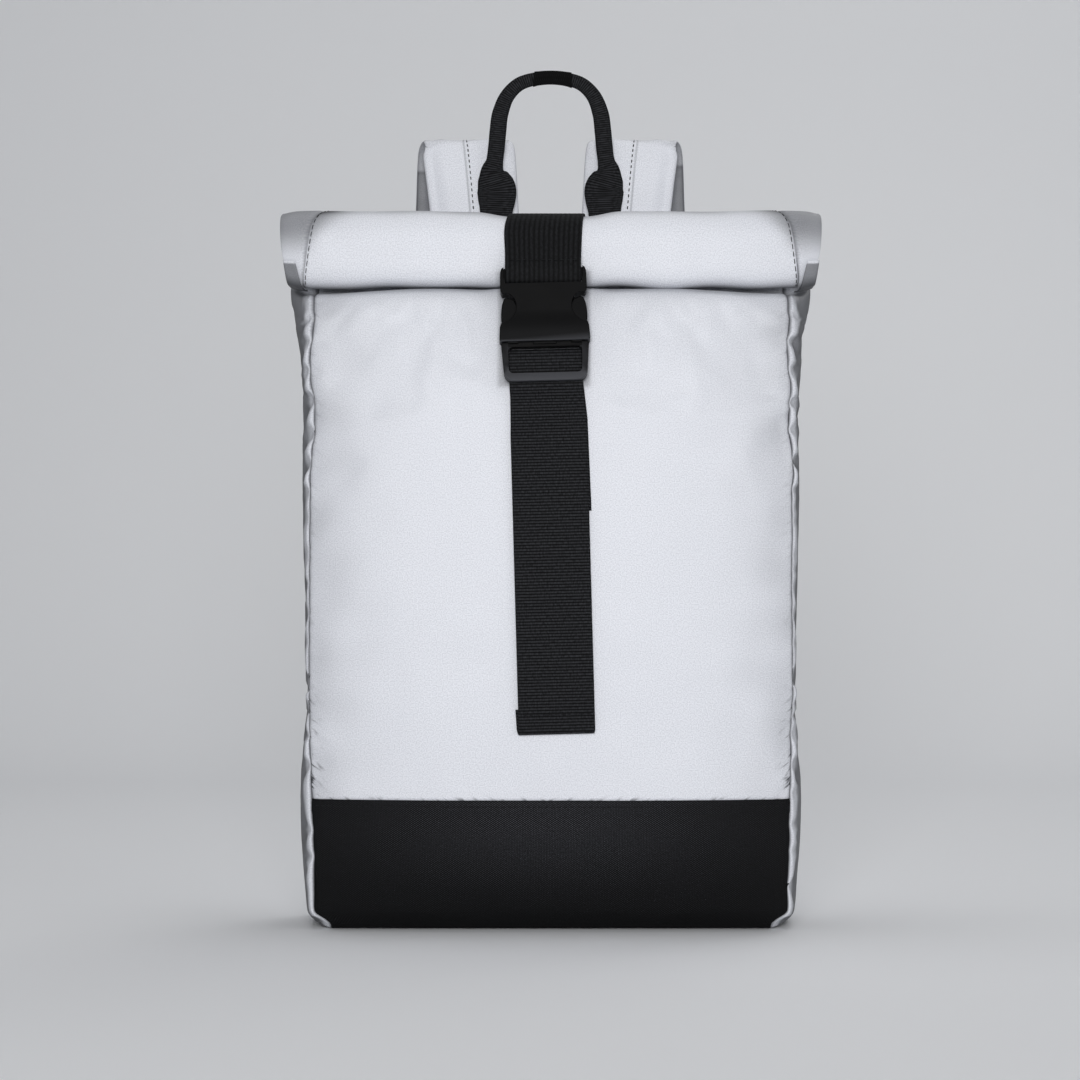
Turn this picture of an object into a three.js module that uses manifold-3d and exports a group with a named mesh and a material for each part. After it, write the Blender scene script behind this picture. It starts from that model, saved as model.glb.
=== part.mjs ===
// Roll-top backpack of reflective cloth, closed and standing on its base.
// Millimetres, +Z up, the front faces -Y, and the origin lies on the floor under the middle of the base.
import * as THREE from "three";
import { mergeVertices } from "three/addons/utils/BufferGeometryUtils.js";
import Module from "manifold-3d";

const wasm = await Module();
wasm.setup();

// Driving dimensions
const cloth = 1.2; // wall of a cloth panel
const baseCloth = 2.4; // the base is doubled
const seamGap = 0.3; // between sewn neighbours
const footRadius = 14; // rounding round the foot of the bag
const footSeamShare = 0.6; // how far the seams follow that rounding
const footBackShare = 0.6; // and the back
const baseSeamHeight = 87; // top edge of the black base on the front
const baseBackHeight = 25; // and on the back
const webThick = 1.6;
const closureWidth = 50; // webbing of the closure
const clear = 0.4; // between a strap and what it lies on
const panelColumns = 6;

// The body by height: where the panels' edges lie, how wide the seams stand, how far a gusset bulges
// past its seams, and how far the panels swell in the middle.
const bodyRows = [
  { height: 0, front: -52, back: 49, seam: 155, out: 7, frontCrown: 4, backCrown: 2 },
  { height: 40, front: -53, back: 50, seam: 156, out: 9, frontCrown: 9, backCrown: 3 },
  { height: 87, front: -54, back: 51, seam: 157, out: 10, frontCrown: 12, backCrown: 4 },
  { height: 150, front: -55, back: 52, seam: 158.5, out: 4, frontCrown: 14, backCrown: 5 },
  { height: 220, front: -55, back: 52, seam: 158.5, out: 4, frontCrown: 15, backCrown: 5 },
  { height: 283, front: -54, back: 52, seam: 160, out: 4.5, frontCrown: 14, backCrown: 5 },
  { height: 348, front: -51, back: 51, seam: 157.5, out: 8.5, frontCrown: 12, backCrown: 5 },
  { height: 400, front: -44, back: 49, seam: 155.5, out: 15, frontCrown: 9, backCrown: 4 },
  { height: 421, front: -38, back: 46, seam: 155, out: 19, frontCrown: 6, backCrown: 3 },
];
const footHeights = [0, 0.8, 3.5, 7.5, footRadius, 40, 66];
const bodyHeights = [...footHeights, baseSeamHeight, 120, 150, 185, 220, 252, 283, 316, 348];

// Above the crease the front panel runs back under the roll while the back panel leans over to meet it.
const shoulderRows = [
  { frontY: -49.5, frontZ: 380, backY: 50, backZ: 380,
    seam: 156, out: 12, frontCrown: 10, backCrown: 4.5 },
  { frontY: -44.5, frontZ: 404, backY: 48.5, backZ: 403,
    seam: 155.5, out: 15, frontCrown: 8.5, backCrown: 4 },
  { frontY: -38, frontZ: 418, backY: 45, backZ: 417,
    seam: 155, out: 19, frontCrown: 6, backCrown: 3 },
  { frontY: -32, frontZ: 421, backY: 37, backZ: 430,
    seam: 155.5, out: 18, frontCrown: 3, backCrown: 2 },
  { frontY: -16, frontZ: 421, backY: 22, backZ: 438.5,
    seam: 156, out: 17, frontCrown: 0, backCrown: 1 },
  { frontY: -7.5, frontZ: 425, backY: 8, backZ: 442,
    seam: 156, out: 17, frontCrown: 0, backCrown: 0 },
];

// Gathers that the front seam pulls into each gusset: rows of small folds between two heights.
const gatherPitch = 20;
const gatherRows = [
  { from: 100, to: 170, depth: 1.6 },
  { from: 300, to: 415, depth: 2.6 },
];
const gatherReach = 0.34; // share of the gusset's width, from the front seam
const gussetColumns = [0, 0.1, 0.2, 0.34, 0.65, 1];

// The roll: both panels lie together and turn forward round a flattened coil.
const rollY = -24;
const rollZ = 447;
const rollHalfDepth = 22;
const rollHalfHeight = 25;
const rollSquareness = 2.5; // 2 is an ellipse
const rollLayer = 1.6; // from the middle between the two cloths to each cloth's outer face
const rollPitch = 5.5; // taken up in each turn
const rollTightensFrom = 150; // degrees
const rollEnd = 560; // degrees: the open mouth lies inside the coil
const rollStep = 20;
// Along the coil the seams wander in, and the folded gusset ends stand out past them.
const rollEndRows = [
  { angle: 0, seam: 154, out: 20 },
  { angle: 90, seam: 146, out: 31.5 },
  { angle: 140, seam: 150, out: 29 },
  { angle: 190, seam: 156, out: 21 },
  { angle: 250, seam: 160, out: 7 },
  { angle: 330, seam: 156, out: 8 },
  { angle: 600, seam: 154, out: 9 },
];

// The closure hangs a little to the left at the top and slants to the right going down.
const closureX = -5.2;
const closureSlant = THREE.MathUtils.degToRad(-1.5);
const buckleX = -4;
const buckleLean = THREE.MathUtils.degToRad(13);
const buckleZ = 387.5; // the socket's mouth
const buckleStandOff = 1; // its back from the front panel
const anchorHeight = 276; // where the tail strap is sewn to the front panel
const tailEnd = 132;
const tailHem = 15;

// Carry handle and shoulder straps, all sewn to the top of the back panel.
const handleRows = [
  // along one side of the loop, mirrored for the other
  { x: -35, y: 55.3, z: 388, wide: 27, thick: 2.6 },
  { x: -35, y: 54.3, z: 402, wide: 27, thick: 2.6 },
  { x: -36, y: 55.3, z: 445, wide: 27, thick: 2.8 },
  { x: -36.5, y: 57, z: 478, wide: 28, thick: 3.0 },
  { x: -37, y: 58, z: 497, wide: 28, thick: 3.4 },
  { x: -37.5, y: 58, z: 509, wide: 20, thick: 4.4 },
  { x: -37, y: 58, z: 519, wide: 12, thick: 6 },
  { x: -36, y: 58, z: 536, wide: 11.5, thick: 6.5 },
  { x: -33, y: 58, z: 551, wide: 11.5, thick: 6.5 },
  { x: -26, y: 58, z: 564, wide: 11.5, thick: 6.5 },
  { x: -14, y: 58, z: 573, wide: 11.5, thick: 6.5 },
  { x: 0, y: 58, z: 575.5, wide: 11.5, thick: 6.5 },
];
const handleSides = 10;
const handleSteps = 44;
const handleSquareness = 2.6; // 2 is an ellipse

const strapRows = [
  { x: 46, y: 59.4, z: 393, wide: 56, thick: 5 },
  { x: 49, y: 61, z: 440, wide: 57, thick: 6.5 },
  { x: 53, y: 64, z: 480, wide: 59, thick: 7 },
  { x: 56, y: 66, z: 515, wide: 61, thick: 7 },
  { x: 57.5, y: 73, z: 529.5, wide: 63, thick: 7 },
  { x: 59, y: 81, z: 521, wide: 65, thick: 7 },
  { x: 61, y: 85, z: 480, wide: 67, thick: 7 },
  { x: 68, y: 90, z: 400, wide: 67, thick: 7.5 },
  { x: 78, y: 93, z: 320, wide: 66, thick: 7.5 },
  { x: 90, y: 91, z: 240, wide: 62, thick: 7.5 },
  { x: 100, y: 83, z: 175, wide: 54, thick: 7 },
  { x: 104, y: 77.5, z: 146, wide: 42, thick: 6 },
  { x: 105.5, y: 75, z: 134, wide: 27, thick: 3 },
];
const strapSides = 12;
const strapSteps = 36;
const strapSquareness = 3;

// The lower ends of the straps: a ladder lock under each pad and webbing down to the back's foot.
const lockWide = 34;
const lockTall = 24;
const lockThick = 4;
const lockCorner = 4;
const lockSlotWide = 26.5;
const lockSlots = [
  { low: -8, high: -2.5 },
  { low: 3.5, high: 8.5 },
];
const lockX = 106;
const lockY = 70.5;
const lockZ = 121;
const lockLean = THREE.MathUtils.degToRad(14);
const lowerWebWidth = 25;
// The pad's faces at its end, up from the lock's middle and out from it.
const padLoopRows = [
  { up: 28, front: -2.9, back: 4.5 },
  { up: 22, front: -2.4, back: 4.2 },
  { up: 14.5, front: -1.2, back: 3.2 },
];

const reflective = { color: 0xd9dbe5, roughness: 0.55, metalness: 0.1 };
const blackCloth = { color: 0x17181a, roughness: 0.8, metalness: 0 };
const webbing = { color: 0x141517, roughness: 0.75, metalness: 0 };
const moulded = { color: 0x1b1c1e, roughness: 0.45, metalness: 0 };

const bag = new THREE.Group();

function add(name, geometry, finish, parent = bag) {
  const mesh = new THREE.Mesh(geometry, new THREE.MeshStandardMaterial(finish));
  mesh.name = name;
  parent.add(mesh);
  return mesh;
}

// A column of a table at some place along it, on a smooth curve through the rows.
function valueAt(rows, along, column, place) {
  const last = rows.length - 1;
  let i = 0;
  while (i < last - 1 && rows[i + 1][along] <= place) i++;
  const slope = (k) => {
    const a = rows[Math.max(k - 1, 0)];
    const b = rows[Math.min(k + 1, last)];
    return (b[column] - a[column]) / (b[along] - a[along]);
  };
  const step = rows[i + 1][along] - rows[i][along];
  const t = THREE.MathUtils.clamp((place - rows[i][along]) / step, 0, 1);
  const from = rows[i][column];
  const to = rows[i + 1][column];
  const blend = t * t * (3 - 2 * t);
  const bend = t * (1 - t) * ((1 - t) * slope(i) - t * slope(i + 1)) * step;
  return from + (to - from) * blend + bend;
}

function bodyAt(height) {
  const at = (column) => valueAt(bodyRows, "height", column, height);
  const below = Math.max(footRadius - height, 0);
  const inset = footRadius - Math.sqrt(footRadius ** 2 - below ** 2);
  const standing = 1 - inset / footRadius;
  return {
    height,
    front: new THREE.Vector2(at("front") + inset, height),
    back: new THREE.Vector2(at("back") - inset * footBackShare, height),
    seam: at("seam") - inset * footSeamShare,
    out: at("out") * standing,
    frontCrown: at("frontCrown"),
    backCrown: at("backCrown"),
    floorTurn: below / footRadius,
  };
}

function rollPath(angle) {
  const a = THREE.MathUtils.degToRad(angle);
  const tightened = (rollPitch * Math.max(angle - rollTightensFrom, 0)) / (360 - rollTightensFrom);
  const later = (rollPitch * Math.max(angle - 360, 0)) / 360;
  const taken = rollLayer + (angle > 360 ? rollPitch + later : tightened);
  const y = Math.abs(Math.cos(a) / (rollHalfDepth - taken)) ** rollSquareness;
  const z = Math.abs(Math.sin(a) / (rollHalfHeight - taken)) ** rollSquareness;
  const reach = (y + z) ** (-1 / rollSquareness);
  return new THREE.Vector2(rollY + reach * Math.cos(a), rollZ + reach * Math.sin(a));
}

// Which way the outer cloth lies from the middle of the coil's two cloths.
function rollOutward(angle) {
  const run = rollPath(angle + 1).sub(rollPath(angle - 1)).normalize();
  return new THREE.Vector2(run.y, -run.x);
}

function rollAt(angle) {
  const middle = rollPath(angle);
  const outward = rollOutward(angle).multiplyScalar(rollLayer);
  return {
    front: middle.clone().sub(outward),
    back: middle.clone().add(outward),
    seam: valueAt(rollEndRows, "angle", "seam", angle),
    out: valueAt(rollEndRows, "angle", "out", angle),
    frontCrown: 0,
    backCrown: 0,
    floorTurn: 0,
  };
}

// Every section of the bag's skin, from the floor to the mouth inside the roll.
const shoulder = shoulderRows.map((row) => ({
  ...row,
  height: row.frontZ,
  front: new THREE.Vector2(row.frontY, row.frontZ),
  back: new THREE.Vector2(row.backY, row.backZ),
  floorTurn: 0,
}));
const roll = [];
for (let angle = 0; angle <= rollEnd; angle += rollStep) roll.push(rollAt(angle));
const skin = [...bodyHeights.map(bodyAt), ...shoulder, ...roll];

// The gussets have further sections wherever they are gathered.
function gatherAt(height) {
  const row = gatherRows.find((r) => height > r.from && height < r.to);
  if (!row) return 0;
  const fade = Math.min(1, (height - row.from) / gatherPitch, (row.to - height) / gatherPitch);
  return row.depth * fade * Math.sin((2 * Math.PI * (height - row.from)) / gatherPitch);
}

function between(a, b, share) {
  const mix = (column) => THREE.MathUtils.lerp(a[column], b[column], share);
  return {
    height: mix("height"),
    front: a.front.clone().lerp(b.front, share),
    back: a.back.clone().lerp(b.back, share),
    seam: mix("seam"),
    out: mix("out"),
    floorTurn: 0,
  };
}

function gatheredSkin() {
  const sections = [];
  for (let i = 0; i < skin.length; i++) {
    sections.push(skin[i]);
    const next = skin[i + 1];
    if (!next || next.height === undefined) continue;
    const gathered = gatherRows.some((r) => skin[i].height < r.to && next.height > r.from);
    const steps = gathered ? Math.max(1, Math.round((next.height - skin[i].height) / (gatherPitch / 4))) : 1;
    for (let k = 1; k < steps; k++) sections.push(between(skin[i], next, k / steps));
  }
  return sections;
}

// A closed sheet from two grids of points: the outer face and the inner face.
function sheet(outer, inner) {
  const rows = outer.length;
  const columns = outer[0].length;
  const points = [...outer.flat(), ...inner.flat()];
  const inside = rows * columns;
  const triangles = [];
  const quad = (a, b, c, d) => triangles.push(a, b, c, a, c, d);
  const at = (r, c) => r * columns + c;
  for (let r = 0; r < rows - 1; r++) {
    for (let c = 0; c < columns - 1; c++) {
      quad(at(r, c), at(r, c + 1), at(r + 1, c + 1), at(r + 1, c));
      quad(inside + at(r, c), inside + at(r + 1, c), inside + at(r + 1, c + 1), inside + at(r, c + 1));
    }
    quad(at(r, 0), at(r + 1, 0), inside + at(r + 1, 0), inside + at(r, 0));
    const end = columns - 1;
    quad(at(r + 1, end), at(r, end), inside + at(r, end), inside + at(r + 1, end));
  }
  for (let c = 0; c < columns - 1; c++) {
    quad(at(0, c + 1), at(0, c), inside + at(0, c), inside + at(0, c + 1));
    const end = rows - 1;
    quad(at(end, c), at(end, c + 1), inside + at(end, c + 1), inside + at(end, c));
  }
  return meshOf(points, triangles);
}

function meshOf(points, triangles) {
  const geometry = new THREE.BufferGeometry();
  geometry.setAttribute("position", new THREE.Float32BufferAttribute(points.flatMap((p) => p.toArray()), 3));
  geometry.setIndex(triangles);
  geometry.computeVertexNormals();
  return geometry;
}

// At each point of a line in the YZ plane, the direction to the right of travel.
function sideways(line) {
  return line.map((p, i) => {
    const before = line[Math.max(i - 1, 0)];
    const after = line[Math.min(i + 1, line.length - 1)];
    const run = after.clone().sub(before).normalize();
    return new THREE.Vector2(run.y, -run.x);
  });
}

// A panel that runs along sections from seam to seam and swells by its crown in the middle.
// inward is 1 where the inside of the bag lies to the right of the line of travel, and -1 to the left.
function panel(line, halfWidths, crowns, inward, wall = cloth) {
  const side = sideways(line);
  const shares = Array.from({ length: panelColumns + 1 }, (_, c) => (2 * c) / panelColumns - 1);
  const face = (depth) =>
    line.map((p, r) =>
      shares.map((share) => {
        const push = inward * (depth - crowns[r] * (1 - share * share));
        const x = share * (halfWidths[r] - seamGap / 2);
        return new THREE.Vector3(x, p.x + side[r].x * push, p.y + side[r].y * push);
      }),
    );
  const outer = face(0);
  const inner = face(wall);
  return inward > 0 ? sheet(outer, inner) : sheet(outer.reverse(), inner.reverse());
}

function addPanels() {
  const front = skin.filter((s) => s.height === undefined || s.height >= baseSeamHeight);
  front[0] = bodyAt(baseSeamHeight + seamGap);
  const widths = (sections) => sections.map((s) => s.seam);
  const frontCrowns = front.map((s) => s.frontCrown);
  add("front_panel", panel(front.map((s) => s.front), widths(front), frontCrowns, 1), reflective);

  const back = skin.filter((s) => s.height === undefined || s.height > baseBackHeight);
  back.unshift(bodyAt(baseBackHeight + seamGap));
  const backCrowns = back.map((s) => s.backCrown);
  add("back_panel", panel(back.map((s) => s.back), widths(back), backCrowns, -1), reflective);
}

// The base comes down the front, under the bag and a little up the back.
function addBase() {
  const heights = bodyHeights.filter((h) => h < baseSeamHeight && h > 1);
  const down = [baseSeamHeight, ...heights.toReversed(), 0].map(bodyAt);
  const up = [0, ...heights.filter((h) => h < baseBackHeight), baseBackHeight].map(bodyAt);
  const foot = bodyAt(0);
  const floor = [-20, 0, 20].map((y) => ({ at: new THREE.Vector2(y, 0), seam: foot.seam }));
  const flat = (s) => 1 - s.floorTurn;
  const rows = [
    ...down.map((s) => ({ at: s.front, seam: s.seam, crown: s.frontCrown * flat(s) })),
    ...floor.map((s) => ({ ...s, crown: 0 })),
    ...up.map((s) => ({ at: s.back, seam: s.seam, crown: s.backCrown * flat(s) })),
  ];
  const line = rows.map((r) => r.at);
  const base = panel(line, rows.map((r) => r.seam), rows.map((r) => r.crown), -1, baseCloth);
  add("base_panel", base, blackCloth);
}

// A gusset bridges the two seams in a flat arc, which the roll presses into a fold.
// depth is how far inside the cloth's outer face the points lie.
function gussetFace(sections, hand, depth) {
  const frontSide = sideways(sections.map((s) => s.front));
  const backSide = sideways(sections.map((s) => s.back));
  return sections.map((s, i) => {
    const middle = s.front.clone().add(s.back).multiplyScalar(0.5);
    const halfAcross = s.back.clone().sub(middle);
    const narrower = depth * Math.sqrt(1 - s.floorTurn ** 2);
    return gussetColumns.map((t) => {
      const inGathers = s.height && t < gatherReach;
      const gather = inGathers ? gatherAt(s.height) * Math.sin((Math.PI * t) / gatherReach) : 0;
      const x = s.seam + seamGap / 2 + (s.out - narrower) * Math.sin(Math.PI * t) + gather;
      const nearBack = (1 - Math.cos(Math.PI * t)) / 2;
      const at = middle.clone()
        .addScaledVector(halfAcross, -Math.cos(Math.PI * t))
        .addScaledVector(frontSide[i], depth * (1 - nearBack))
        .addScaledVector(backSide[i], -depth * nearBack);
      return new THREE.Vector3(hand * x, at.x, at.y);
    });
  });
}

function addGussets() {
  const sections = gatheredSkin();
  for (const [name, hand] of [["gusset_left", -1], ["gusset_right", 1]]) {
    const outer = gussetFace(sections, hand, 0);
    const inner = gussetFace(sections, hand, cloth);
    const turned = hand > 0 ? [outer, inner] : [outer.toReversed(), inner.toReversed()];
    add(name, sheet(...turned), reflective);
  }
}

// A strap of webbing: a line in a plane, thickened to both sides and drawn out to the strap's width.
function ribbon(line, width, thick) {
  const side = sideways(line);
  const edge = (sign) => line.map((p, i) => p.clone().addScaledVector(side[i], (sign * thick) / 2));
  const outline = new THREE.Shape([...edge(1), ...edge(-1).reverse()]);
  const geometry = new THREE.ExtrudeGeometry(outline, { depth: width, bevelEnabled: false });
  // The line's two axes become Y and Z, and the width lies along X.
  geometry.applyMatrix4(new THREE.Matrix4().makeBasis(
    new THREE.Vector3(0, 1, 0), new THREE.Vector3(0, 0, 1), new THREE.Vector3(1, 0, 0)));
  geometry.translate(-width / 2, 0, 0);
  return geometry;
}

// A soft bar along a 3-D line of rows, each with a width and a thickness. guide says how its width lies.
function softBar(rows, sides, steps, squareness, guide) {
  const points = rows.map((r) => new THREE.Vector3(r.x, r.y, r.z));
  const line = new THREE.CatmullRomCurve3(points, false, "centripetal");
  const places = rows.map((r, i) => ({ at: i, wide: r.wide, thick: r.thick }));
  const rings = [];
  for (let i = 0; i <= steps; i++) {
    const t = i / steps;
    const centre = line.getPoint(t);
    const run = line.getTangent(t);
    const across = guide(run);
    across.addScaledVector(run, -across.dot(run)).normalize();
    const out = new THREE.Vector3().crossVectors(run, across);
    const wide = valueAt(places, "at", "wide", t * (rows.length - 1));
    const thick = valueAt(places, "at", "thick", t * (rows.length - 1));
    const ring = [];
    for (let k = 0; k < sides; k++) {
      const a = (2 * Math.PI * (k + 0.5)) / sides;
      const round = (v) => Math.sign(v) * Math.abs(v) ** (2 / squareness);
      ring.push(centre.clone()
        .addScaledVector(across, (round(Math.cos(a)) * wide) / 2)
        .addScaledVector(out, (round(Math.sin(a)) * thick) / 2));
    }
    rings.push(ring);
  }
  return loft(rings);
}

function loft(rings) {
  const sides = rings[0].length;
  const triangles = [];
  for (let r = 0; r < rings.length - 1; r++) {
    for (let k = 0; k < sides; k++) {
      const a = r * sides + k;
      const b = r * sides + ((k + 1) % sides);
      triangles.push(a, b, b + sides, a, b + sides, a + sides);
    }
  }
  const last = (rings.length - 1) * sides;
  for (let k = 1; k < sides - 1; k++) {
    triangles.push(0, k + 1, k);
    triangles.push(last, last + k, last + k + 1);
  }
  return meshOf(rings.flat(), triangles);
}

// Solids for cutting and joining.
function solid(geometry) {
  const bare = geometry.clone();
  for (const name of ["normal", "uv"]) bare.deleteAttribute(name);
  const merged = mergeVertices(bare, 1e-4);
  const triVerts = new Uint32Array(merged.index.array);
  const vertProperties = merged.attributes.position.array;
  return new wasm.Manifold(new wasm.Mesh({ numProp: 3, vertProperties, triVerts }));
}

function geometryOf(made) {
  const mesh = made.getMesh();
  const geometry = new THREE.BufferGeometry();
  geometry.setAttribute("position", new THREE.BufferAttribute(mesh.vertProperties, 3));
  geometry.setIndex(new THREE.BufferAttribute(mesh.triVerts, 1));
  return geometry;
}

// A box between two sides, a low and a high edge, and two depths.
function block(sides, edges, depths) {
  const ranges = [sides, edges, depths];
  const size = ranges.map(([from, to]) => to - from);
  const middle = ranges.map(([from, to]) => (from + to) / 2);
  return solid(new THREE.BoxGeometry(...size).translate(...middle));
}

function plate(shape, from, to) {
  return solid(new THREE.ExtrudeGeometry(shape, { depth: to - from, bevelEnabled: false, curveSegments: 4 })
    .translate(0, 0, from));
}

function roundedRectangle(width, low, high, radius) {
  const half = width / 2;
  const shape = new THREE.Shape();
  shape.moveTo(-half + radius, low);
  shape.lineTo(half - radius, low);
  shape.absarc(half - radius, low + radius, radius, -Math.PI / 2, 0);
  shape.absarc(half - radius, high - radius, radius, 0, Math.PI / 2);
  shape.absarc(-half + radius, high - radius, radius, Math.PI / 2, Math.PI);
  shape.absarc(-half + radius, low + radius, radius, Math.PI, 1.5 * Math.PI);
  return shape;
}

// Where the middle of the front panel's outer face lies at some height.
const upright = skin.filter((s) => s.height >= footRadius);
const uprightSide = sideways(upright.map((s) => s.front));
const frontMiddle = upright.map((s, i) => s.front.clone().addScaledVector(uprightSide[i], -s.frontCrown));

function frontFace(height) {
  const i = frontMiddle.findIndex((p) => p.y > height);
  const [low, high] = [frontMiddle[i - 1], frontMiddle[i]];
  return THREE.MathUtils.mapLinear(height, low.y, high.y, low.x, high.x);
}

// The buckle's own frame: up along its lean, and out from the front panel.
const buckleY = frontFace(buckleZ) - buckleStandOff;

function fromBuckle(out, up) {
  const y = buckleY + up * Math.sin(buckleLean) - out * Math.cos(buckleLean);
  const z = buckleZ + up * Math.cos(buckleLean) + out * Math.sin(buckleLean);
  return new THREE.Vector2(y, z);
}

// The buckle, with sizes up from the socket's mouth and out from the bag.
const socket = { collarHalf: 29, collarTop: 10.5, waistHalf: 17.5, windowTop: 28.5, shoulderHalf: 28 };
const socketTop = 49;
const socketDepth = { from: 1, to: 12 };
const wayThrough = [-10, 30]; // depths past both faces of a moulded piece
const cavity = { half: 25.5, top: 27, from: 3, to: 9.5 };
const webSlot = { half: 26, low: 38, high: 43.6 };
const bar = { low: 43.6, from: 3.4, to: 6.4 };
const barClear = 1.5; // the strap hangs level on the slanting bar
const plugFrame = { wide: 57, low: -26.5, high: -0.4, radius: 6, from: 2.8, to: 10.4 };
const plugOpening = { half: 25.3, low: -21.3, high: -3.2 };
const plugBar = { low: -10.5, high: -6.5, from: 3.2, to: 5.6 };
const endBarFrom = 6.4; // the end bar lies in front of both layers of the strap
const plugTongue = { half: 8, top: 24, from: 3.6, to: 9 };
const armRows = [
  { up: -1, inner: 17, outer: 25 },
  { up: 10, inner: 18.5, outer: 25 },
  { up: 13, inner: 19.5, outer: 27 },
  { up: 18, inner: 21, outer: 28.6 },
  { up: 23.5, inner: 20, outer: 27 },
  { up: 26.4, inner: 19, outer: 23 },
];

// A moulded piece's outline, given by how far it reaches to each side at each height.
function bothSides(rows) {
  const right = rows.map(([x, up]) => new THREE.Vector2(x, up));
  return new THREE.Shape([...right, ...right.toReversed().map((p) => new THREE.Vector2(-p.x, p.y))]);
}

function makeSocket() {
  const { collarHalf, collarTop, waistHalf, windowTop, shoulderHalf } = socket;
  const chamfer = 2;
  const outline = bothSides([
    [collarHalf - chamfer, 0],
    [collarHalf, chamfer],
    [collarHalf, collarTop - chamfer],
    [collarHalf - chamfer, collarTop],
    [waistHalf + chamfer, collarTop],
    [waistHalf, collarTop + 2 * chamfer],
    [waistHalf, windowTop - 3 * chamfer],
    [waistHalf + 2 * chamfer, windowTop - chamfer],
    [shoulderHalf - chamfer, windowTop],
    [shoulderHalf, windowTop + chamfer],
    [shoulderHalf, socketTop - chamfer],
    [shoulderHalf - chamfer, socketTop],
  ]);
  const inMouth = [-cavity.half, cavity.half];
  const inSlot = [-webSlot.half, webSlot.half];
  const byBar = [webSlot.high, socketTop + 1];
  return geometryOf(
    plate(outline, socketDepth.from, socketDepth.to)
      .subtract(block(inMouth, [-1, cavity.top], [cavity.from, cavity.to]))
      .subtract(block(inSlot, [webSlot.low, webSlot.high], wayThrough))
      .subtract(block(inSlot, byBar, [bar.to, wayThrough[1]]))
      .subtract(block(inSlot, byBar, [wayThrough[0], bar.from])),
  );
}

function makePlug() {
  const { wide, low, high, radius, from, to } = plugFrame;
  const inOpening = [-plugOpening.half, plugOpening.half];
  const acrossBar = [inOpening[0] - 1, inOpening[1] + 1];
  const tongueSides = [-plugTongue.half, plugTongue.half];
  let plug = plate(roundedRectangle(wide, low, high, radius), from, to)
    .subtract(block(inOpening, [plugOpening.low, plugOpening.high], wayThrough))
    // Behind the end bar there is room for both layers of the strap.
    .subtract(block(inOpening, [low - 1, plugOpening.low + 1], [wayThrough[0], endBarFrom]))
    .add(block(acrossBar, [plugBar.low, plugBar.high], [plugBar.from, plugBar.to]))
    .add(block(tongueSides, [high - 1, plugTongue.top], [plugTongue.from, plugTongue.to]));
  const inner = armRows.map((r) => new THREE.Vector2(r.inner, r.up));
  const outer = armRows.map((r) => new THREE.Vector2(r.outer, r.up));
  for (const hand of [-1, 1]) {
    const loop = [...outer, ...inner.toReversed()].map((p) => new THREE.Vector2(hand * p.x, p.y));
    plug = plug.add(plate(new THREE.Shape(loop), plugTongue.from, plugTongue.to));
  }
  return geometryOf(plug);
}

// The points of a half turn round a bar, from one side of it to the other.
function halfTurn(out, up, radius, fromAngle, toAngle) {
  const steps = 6;
  return Array.from({ length: steps + 1 }, (_, i) => {
    const a = THREE.MathUtils.degToRad(fromAngle + ((toAngle - fromAngle) * i) / steps);
    return fromBuckle(out + radius * Math.cos(a), up + radius * Math.sin(a));
  });
}

const lie = clear + webThick / 2; // from a face to the middle of the strap on it
const layerStep = webThick + clear; // from one layer of strap to the next

function closureLine() {
  const yoke = shoulderRows.slice(2, 5);
  const line = yoke.map((r) => new THREE.Vector2(r.backY, r.backZ));
  const side = sideways(line);
  const onYoke = line.map((p, i) => p.clone().addScaledVector(side[i], yoke[i].backCrown + lie));
  const overRoll = [];
  for (let angle = 50; angle <= 154; angle += 13) {
    overRoll.push(rollPath(angle).addScaledVector(rollOutward(angle), rollLayer + lie));
  }
  const barOut = (bar.from + bar.to) / 2;
  const radius = (bar.to - bar.from) / 2 + 0.6 + webThick / 2;
  const turnUp = bar.low - barClear - webThick / 2 + radius;
  const front = [fromBuckle(barOut + radius + 0.3, turnUp + 7), fromBuckle(barOut + radius, turnUp + 3)];
  const sewnBack = [fromBuckle(barOut - radius, turnUp + 5), fromBuckle(barOut - radius, turnUp + 10)];
  return [...onYoke, ...overRoll, ...front, ...halfTurn(barOut, turnUp, radius, 0, -180), ...sewnBack];
}

// Sewn to the front panel, up behind the adjuster, over its bar and down as the tail with its end hemmed.
function tailLine() {
  const onPanel = (height, layer) => new THREE.Vector2(frontFace(height) - lie - layer * layerStep, height);
  const barOut = (plugBar.from + plugBar.to) / 2;
  const radius = (plugBar.to - plugBar.from) / 2 + 0.8 + webThick / 2;
  const turnUp = plugBar.high - 1;
  const anchor = [anchorHeight, 300, 325, 345].map((h) => onPanel(h, 0));
  const behind = [fromBuckle(barOut - radius, plugFrame.low - 1), fromBuckle(barOut - radius, turnUp - 4)];
  const front = [
    fromBuckle(barOut + radius, turnUp - 3),
    fromBuckle(5, plugOpening.low + 1),
    fromBuckle(4.2, plugFrame.low - 1),
  ];
  const down = [345, 325, 300, 268, 240, 210, 180, 155].map((h) => onPanel(h, 1));
  const hemTurn = [1, 0.7, 0, -0.7, -1].map((share) => {
    const sink = Math.sqrt(1 - share * share) * (layerStep / 2);
    return onPanel(tailEnd - sink, (1 + share) / 2);
  });
  const hem = onPanel(tailEnd + tailHem, 0);
  const overBar = halfTurn(barOut, turnUp, radius, 180, 0);
  return [...anchor, ...behind, ...overBar, ...front, ...down, ...hemTurn, hem];
}

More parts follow.
